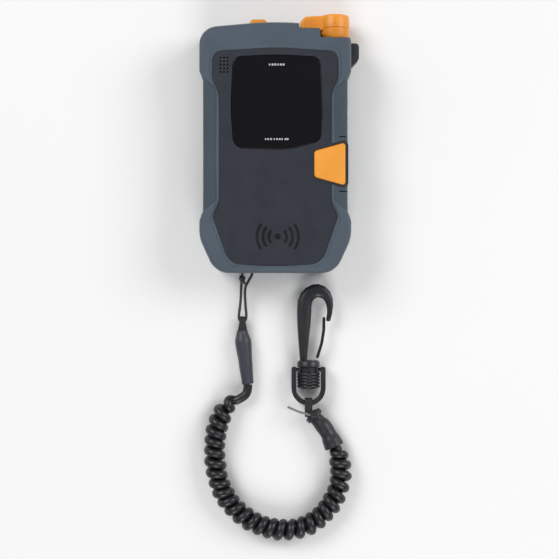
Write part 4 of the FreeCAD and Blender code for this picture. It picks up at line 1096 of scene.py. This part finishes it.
class TRANSCEIVER_OT_sleeves(bpy.types.Operator):
    """Makes the shrunk sleeves, the folded eyes and the cable tie."""

    bl_idname = "transceiver.sleeves"
    bl_label = "Sleeves, eyes and cable tie"

    def execute(self, context):
        shade = colours()
        made = shrink_finish("shrink_sleeve_grey", shade.sleeve)
        dark = shrink_finish("shrink_sleeve_dark", shade.lower)
        top = (EYE_X - 0.3, EYE_Y - 4.1, LEAD_Z)
        end = (EYE_X + 2.6, EYE_Y - 30.4, LEAD_Z)
        upper = [Vector(top) * MM, Vector(end) * MM]
        upper_radii = [(0, 2.6), (0.22, 3.9), (0.6, 3.4), (1.0, 2.85)]
        shrunk_sleeve("upper_sleeve_moulding", upper, upper_radii, made, "upper_sleeve")
        lower = line_of([
            (POST_X + 42.2, FOOT - 84.4, COIL_Z), (POST_X + 38.6, FOOT - 76.0, 5.2),
            (POST_X + 33.8, FOOT - 71.4, TIE_Z), (POST_X + 30.8, FOOT - 67.8, TIE_Z),
        ])
        lower_radii = [(0, 4.85), (0.16, 4.5), (0.34, 3.75), (0.56, 4.0), (0.78, 3.35), (1.0, 3.05)]
        shrunk_sleeve("lower_sleeve_moulding", lower, lower_radii, dark, "lower_sleeve")
        strap = braided("eye_strap", (0.008, 0.008, 0.009), 0.6, 1400.0)
        low_y, high_y = EYE_Y - 5.4, EYE_Y + 2.6
        strap_fold("upper_eye_strap", EYE_X, low_y, high_y, LEAD_Z, 4.6, 5.0, strap, "upper_eye", 0.5)
        low, high = (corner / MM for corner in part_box("lower_eye"))
        middle_z, tall = (low.z + high.z) / 2, high.z - low.z
        strap_fold("lower_eye_strap", HOOK_X, low.y - 2.4, high.y, middle_z, 3.6, tall, strap, "lower_eye")

        middle = Vector((POST_X + 36.9, FOOT - 74.0, TIE_Z))
        axis = Vector((POST_X + 30.8, FOOT - 67.8, TIE_Z)) - middle
        bm = bmesh.new()
        band = [(3.62, 0), (4.1, 0), (4.38, 0.3), (4.38, 2.1), (4.1, 2.4), (3.62, 2.4), (3.62, 0)]
        turned(bm, band, middle + axis * 0.62, axis, 40)
        left, foot = HOOK_X + 0.8, FOOT - 69.7
        head = block(left, foot, left + 3.6, foot + 2.8, 0.5)
        slab(bm, head, TIE_Z + 3.75, TIE_Z + 5.9, top_edge=0.4)
        tail = [
            (HOOK_X + 1.4, FOOT - 68.7, 9.6),
            (HOOK_X - 4.5, FOOT - 67.2, 8.9),
            (HOOK_X - 10.1, FOOT - 64.9, 7.35),
        ]
        strip = tube_along("tie_tail", [Vector(p) * MM for p in tail], 0.55 * MM, 3)
        for face in strip.faces:
            face.material_index = 1
        merge(bm, strip)
        dark_tie = moulded("cable_tie_band", shade.hook, 0.4, 1500.0)
        pale_tie = moulded("cable_tie_tail", shade.tie, 0.45, 1500.0)
        finish_piece("cable_tie_strip", bm, [dark_tie, pale_tie], "case", ["cable_tie"])
        return {"FINISHED"}


# ---------------------------------------------------------------- swivel snap hook


PIVOT_AWAY = 7.05
BOW_BEND = 8.6
SQUARENESS = 0.72
HOOK_SECTIONS = [
    (-4.1, -1.2, -0.3, -1.2, 2.2), (-4.3, 0.6, -0.6, 0.6, 2.3), (-4.5, 3.5, -0.5, 3.5, 2.5),
    (-4.8, 7.0, -0.1, 7.0, 2.65), (-5.1, 11.0, 0.3, 11.0, 2.75), (-5.4, 16.0, 0.8, 15.6, 2.8),
    (-5.6, 21.0, 1.2, 20.0, 2.8), (-5.6, 25.5, 1.4, 23.8, 2.8), (-5.2, 29.2, 1.5, 26.6, 2.8),
    (-3.7, 32.6, 2.0, 28.6, 2.8), (-1.4, 35.2, 3.0, 29.8, 2.75), (1.6, 36.8, 4.3, 30.4, 2.7),
    (4.9, 37.1, 5.6, 30.4, 2.65), (8.0, 35.9, 6.9, 29.8, 2.6), (10.5, 33.4, 8.0, 28.4, 2.5),
    (11.8, 30.0, 8.7, 26.6, 2.4), (12.0, 26.4, 9.0, 24.4, 2.25), (11.6, 23.0, 8.9, 22.4, 2.1),
    (11.0, 20.4, 8.6, 20.4, 1.95), (10.7, 19.3, 8.6, 19.3, 1.7), (10.2, 18.85, 9.0, 18.85, 0.9),
]


def hook_ring(section):
    """One rounded cross-section of the hook, from its outer and inner edge and its half thickness."""
    outer = Vector((HOOK_X + section[0], BARREL_TOP + section[1], BARREL_Z)) * MM
    inner = Vector((HOOK_X + section[2], BARREL_TOP + section[3], BARREL_Z)) * MM
    middle, reach = (outer + inner) / 2, (outer - inner) / 2
    ring = []
    for angle in round_angles(28):
        across, lift = (math.copysign(abs(c) ** SQUARENESS, c) for c in (math.cos(angle), math.sin(angle)))
        ring.append(middle + reach * across + UP * (lift * section[4] * MM))
    return ring


class TRANSCEIVER_OT_snap_hook(bpy.types.Operator):
    """Makes the swivel bow, the ribbed barrel with its hook, and the spring gate."""

    bl_idname = "transceiver.snap_hook"
    bl_label = "Swivel snap hook"

    def execute(self, context):
        shade = colours()
        acetal = moulded("hook_acetal", shade.hook, 0.36, 1500.0, 0.00003, 0.15)
        barrel_foot = hook_low.y / MM
        groove_y = BARREL_TOP - 4.6
        radius = (hook_high.z - hook_low.z) / 2 / MM
        bow_foot = bow_low.y / MM
        half = PIVOT_AWAY + 1.25
        thick = 2.3
        bm = bmesh.new()
        bend = bow_foot + BOW_BEND
        turns = [step / 16 * math.pi for step in range(17)]
        outside = [(HOOK_X - half * math.cos(a), bend - BOW_BEND * math.sin(a), 9) for a in turns]
        gap = half - thick
        inside = [(HOOK_X + gap * math.cos(a), bend - (BOW_BEND - thick) * math.sin(a), 9) for a in turns]
        slab(bm, [
            (HOOK_X - half, groove_y + 1.4, 0.9), *outside, (HOOK_X + half, groove_y + 1.4, 0.9),
            (HOOK_X + half - thick, groove_y + 1.4, 0.5), *inside,
            (HOOK_X - half + thick, groove_y + 1.4, 0.5),
        ], bow_low.z / MM, bow_high.z / MM, top_edge=0.95, foot_edge=0.95, segments=4, steps=3)
        for side in (-1, 1):
            turned(bm, [(0, 0), (1.0, 0), (1.0, 2.6), (0.8, 2.75), (0, 2.75)],
                   (HOOK_X + side * PIVOT_AWAY, groove_y, BARREL_Z), (-side, 0, 0), 20)
        finish_piece("swivel_bow_moulding", bm, acetal, "case", ["swivel_bow"])

        bm = bmesh.new()
        rings = []
        for first, second in zip(HOOK_SECTIONS, HOOK_SECTIONS[1:]):
            for step in range(4):
                rings.append(hook_ring([a + (b - a) * step / 4 for a, b in zip(first, second)]))
        rings.append(hook_ring(HOOK_SECTIONS[-1]))
        lofted(bm, rings)
        head = groove_y + 1.15
        profile = [(0, barrel_foot), (radius - 1.2, barrel_foot), (radius - 0.6, barrel_foot + 0.4)]
        rib = (groove_y - 1.15 - barrel_foot - 0.4) / 5
        for number in range(5):
            y = barrel_foot + 0.4 + number * rib
            profile += [
                (radius - 0.55, y + 0.05), (radius - 0.1, y + rib * 0.18), (radius, y + rib * 0.32),
                (radius, y + rib * 0.58), (radius - 0.1, y + rib * 0.72), (radius - 0.6, y + rib * 0.86),
            ]
        profile += [
            (radius - 0.6, groove_y - 1.15), (radius - 1.3, groove_y - 1.1), (radius - 1.3, groove_y + 1.1),
            (radius - 0.5, head), (radius, head + 0.4), (radius, BARREL_TOP - 1.1),
            (radius - 0.5, BARREL_TOP - 0.3), (radius - 1.6, BARREL_TOP), (0, BARREL_TOP),
        ]
        profile = [(r, along - barrel_foot) for r, along in profile]
        turned(bm, profile, (HOOK_X, barrel_foot, BARREL_Z), (0, 1, 0), 56)
        finish_piece("hook_moulding", bm, acetal, "hook", ["hook_body"])

        half_gate = 0.72
        middle = [(4.15, 1.0), (6.4, 8.3), (7.4, 14.7), (7.5, 21.0)]
        bm = bmesh.new()
        slab(bm, [(HOOK_X + x + half_gate, BARREL_TOP + y, 6) for x, y in middle]
             + [(HOOK_X + x - half_gate, BARREL_TOP + y, 6) for x, y in reversed(middle)],
             BARREL_Z - 0.98, BARREL_Z + 0.98, top_edge=0.5, foot_edge=0.5, segments=4)
        spring = moulded("gate_acetal", (0.008, 0.008, 0.010), 0.32, 1500.0)
        finish_piece("hook_gate_moulding", bm, spring, "hook_gate", ["hook_gate"])
        return {"FINISHED"}


# ---------------------------------------------------------------- finishes of the machined parts


def board_finish():
    """Solder mask over copper tracks."""
    made, tree, shader = blank_material("circuit_board", (0.010, 0.085, 0.030), 0.35)
    tracks = pattern(tree, "ShaderNodeTexVoronoi", 260.0)
    tint_between(tree, tracks, shader, (0.012, 0.10, 0.036), 0.5)
    shade_between(tree, tracks, shader, 0.28, 0.42)
    return made


def winding_finish():
    """Enamelled copper wire, laid turn by turn."""
    made, tree, shader = blank_material("winding_copper", (0.62, 0.20, 0.07), 0.3)
    shader.inputs["Metallic"].default_value = 1.0
    turns = noise(tree, 700.0, 2.0)
    tint_between(tree, turns, shader, (0.62, 0.20, 0.07), 0.25)
    relief(tree, shader, [(turns, 0.00008, 0.5)])
    return made


class TRANSCEIVER_OT_part_finishes(bpy.types.Operator):
    """Gives every machined part its finish."""

    bl_idname = "transceiver.part_finishes"
    bl_label = "Part finishes"

    def execute(self, context):
        shade = colours()
        steel = (0.50, 0.50, 0.49)
        rear = moulded("rear_shell", shade.rear, 0.5)
        seal = rubbery("seal_rubber", (0.008, 0.008, 0.009), 0.62)
        switch = moulded("switch_black", (0.010, 0.010, 0.011), 0.45)
        turned_steel = metallic("turned_steel", steel, 0.28, (1.0, 8.0, 1.0))
        screw_steel = metallic("screw_steel", steel, 0.34)
        contact = metallic("contact_plating", (0.66, 0.62, 0.52), 0.26)
        ferrite = moulded("ferrite", (0.030, 0.030, 0.032), 0.7)
        winding = winding_finish()
        finishes = (
            (rear, "rear_housing", "battery_door"),
            (moulded("panel_navy", shade.navy, 0.5, 2200.0, 0.00004, 0.04), "front_housing"),
            (glossy("window_gloss", shade.window, 0.07), "window_lens"),
            (seal, "case_gasket", "door_gasket", "lens_gasket", "lever_seal"),
            (moulded("display_grey", (0.19, 0.21, 0.19), 0.3), "display_module"),
            (board_finish(), "main_board"),
            (switch, "option_switch", "top_switch", "rotary_switch"),
            (turned_steel, "lever_shaft"),
            (screw_steel, "door_screw", "case_screws"),
            (moulded("cell_wrap", (0.30, 0.19, 0.06), 0.3), "batteries"),
            (contact, "contact_springs", "battery_contacts"),
            (ferrite, "antenna_long_core", "antenna_cross_core", "antenna_upright_core"),
            (winding, "antenna_long_winding", "antenna_cross_winding", "antenna_upright_winding"),
            (moulded("speaker_body", (0.07, 0.07, 0.075), 0.38), "speaker"),
        )
        for finish, *nodes in finishes:
            for node in nodes:
                dress(node, finish)
        return {"FINISHED"}


# ---------------------------------------------------------------- floor, light and camera


def soft_light(name, place, size, power, target):
    """A square soft light that faces a place."""
    light = bpy.data.lights.new(name, "AREA")
    light.size = size
    light.energy = power
    holder = bpy.data.objects.new(name, light)
    bpy.context.collection.objects.link(holder)
    holder.location = place
    holder.rotation_euler = (Vector(target) - Vector(place)).to_track_quat("-Z", "Y").to_euler()
    return holder


class TRANSCEIVER_OT_stage(bpy.types.Operator):
    """Sets out the plain floor, the soft lights and the camera straight above."""

    bl_idname = "transceiver.stage"
    bl_label = "Floor, light and camera"

    def execute(self, context):
        paper, tree, shader = blank_material("studio_paper", colours().floor, 0.85)
        weave = noise(tree, 6.0, 2.0)
        tint_between(tree, weave, shader, colours().floor, 0.01)
        bm = bmesh.new()
        bmesh.ops.create_grid(bm, x_segments=1, y_segments=1, size=4.0)
        bmesh.ops.translate(bm, verts=bm.verts, vec=(0, 0, -0.0002))
        mesh = bpy.data.meshes.new("studio_floor")
        bm.to_mesh(mesh)
        bm.free()
        mesh.materials.append(paper)
        floor = bpy.data.objects.new("studio_floor", mesh)
        context.collection.objects.link(floor)
        middle = (0.002, -0.0625, 0.01)
        lights = [
            soft_light("key", (-0.95, 0.75, 1.2), 0.8, 14.0, middle),
            soft_light("right_fill", (1.15, 0.45, 0.95), 0.8, 11.0, middle),
            soft_light("foot_fill", (0.1, -1.25, 0.95), 0.8, 10.0, middle),
        ]
        world = bpy.data.worlds.new("studio_world")
        world.use_nodes = True
        world.node_tree.nodes["Background"].inputs["Color"].default_value = (1.0, 1.0, 1.0, 1.0)
        world.node_tree.nodes["Background"].inputs["Strength"].default_value = 0.3
        context.scene.world = world
        context.scene.view_settings.view_transform = "Standard"
        lens = bpy.data.cameras.new("camera")
        lens.lens = 100
        camera = bpy.data.objects.new("camera", lens)
        context.collection.objects.link(camera)
        camera.location = (0.002, -0.0625, 0.76)
        context.scene.camera = camera
        return {"FINISHED"}


# ---------------------------------------------------------------- add-on

OPERATORS = (
    TRANSCEIVER_OT_bumper_frame,
    TRANSCEIVER_OT_front_details,
    TRANSCEIVER_OT_option_button,
    TRANSCEIVER_OT_mode_lever,
    TRANSCEIVER_OT_small_controls,
    TRANSCEIVER_OT_thin_loop,
    TRANSCEIVER_OT_sleeves,
    TRANSCEIVER_OT_snap_hook,
    TRANSCEIVER_OT_coiled_cord,
    TRANSCEIVER_OT_part_finishes,
    TRANSCEIVER_OT_stage,
)


class TRANSCEIVER_PT_panel(bpy.types.Panel):
    """The transceiver's settings and operators in the sidebar."""

    bl_idname = "TRANSCEIVER_PT_panel"
    bl_label = "Transceiver"
    bl_space_type = "VIEW_3D"
    bl_region_type = "UI"
    bl_category = "Transceiver"

    def draw(self, context):
        column = self.layout.column()
        for name in TransceiverSizes.__annotations__:
            column.prop(context.scene.transceiver_sizes, name)
        for name in TransceiverColours.__annotations__:
            column.prop(context.scene.transceiver_colours, name)
        for operator in OPERATORS:
            column.operator(operator.bl_idname)


CLASSES = (TransceiverSizes, TransceiverColours, *OPERATORS, TRANSCEIVER_PT_panel)


def register():
    """Adds the settings, operators and panel."""
    for each in CLASSES:
        bpy.utils.register_class(each)
    bpy.types.Scene.transceiver_sizes = bpy.props.PointerProperty(type=TransceiverSizes)
    bpy.types.Scene.transceiver_colours = bpy.props.PointerProperty(type=TransceiverColours)


def unregister():
    """Takes the settings, operators and panel away."""
    del bpy.types.Scene.transceiver_colours
    del bpy.types.Scene.transceiver_sizes
    for each in reversed(CLASSES):
        bpy.utils.unregister_class(each)


def main():
    """Makes every piece and the stage."""
    register()
    for operator in OPERATORS:
        group, name = operator.bl_idname.split(".")
        getattr(getattr(bpy.ops, group), name)()


if __name__ == "__main__":
    main()
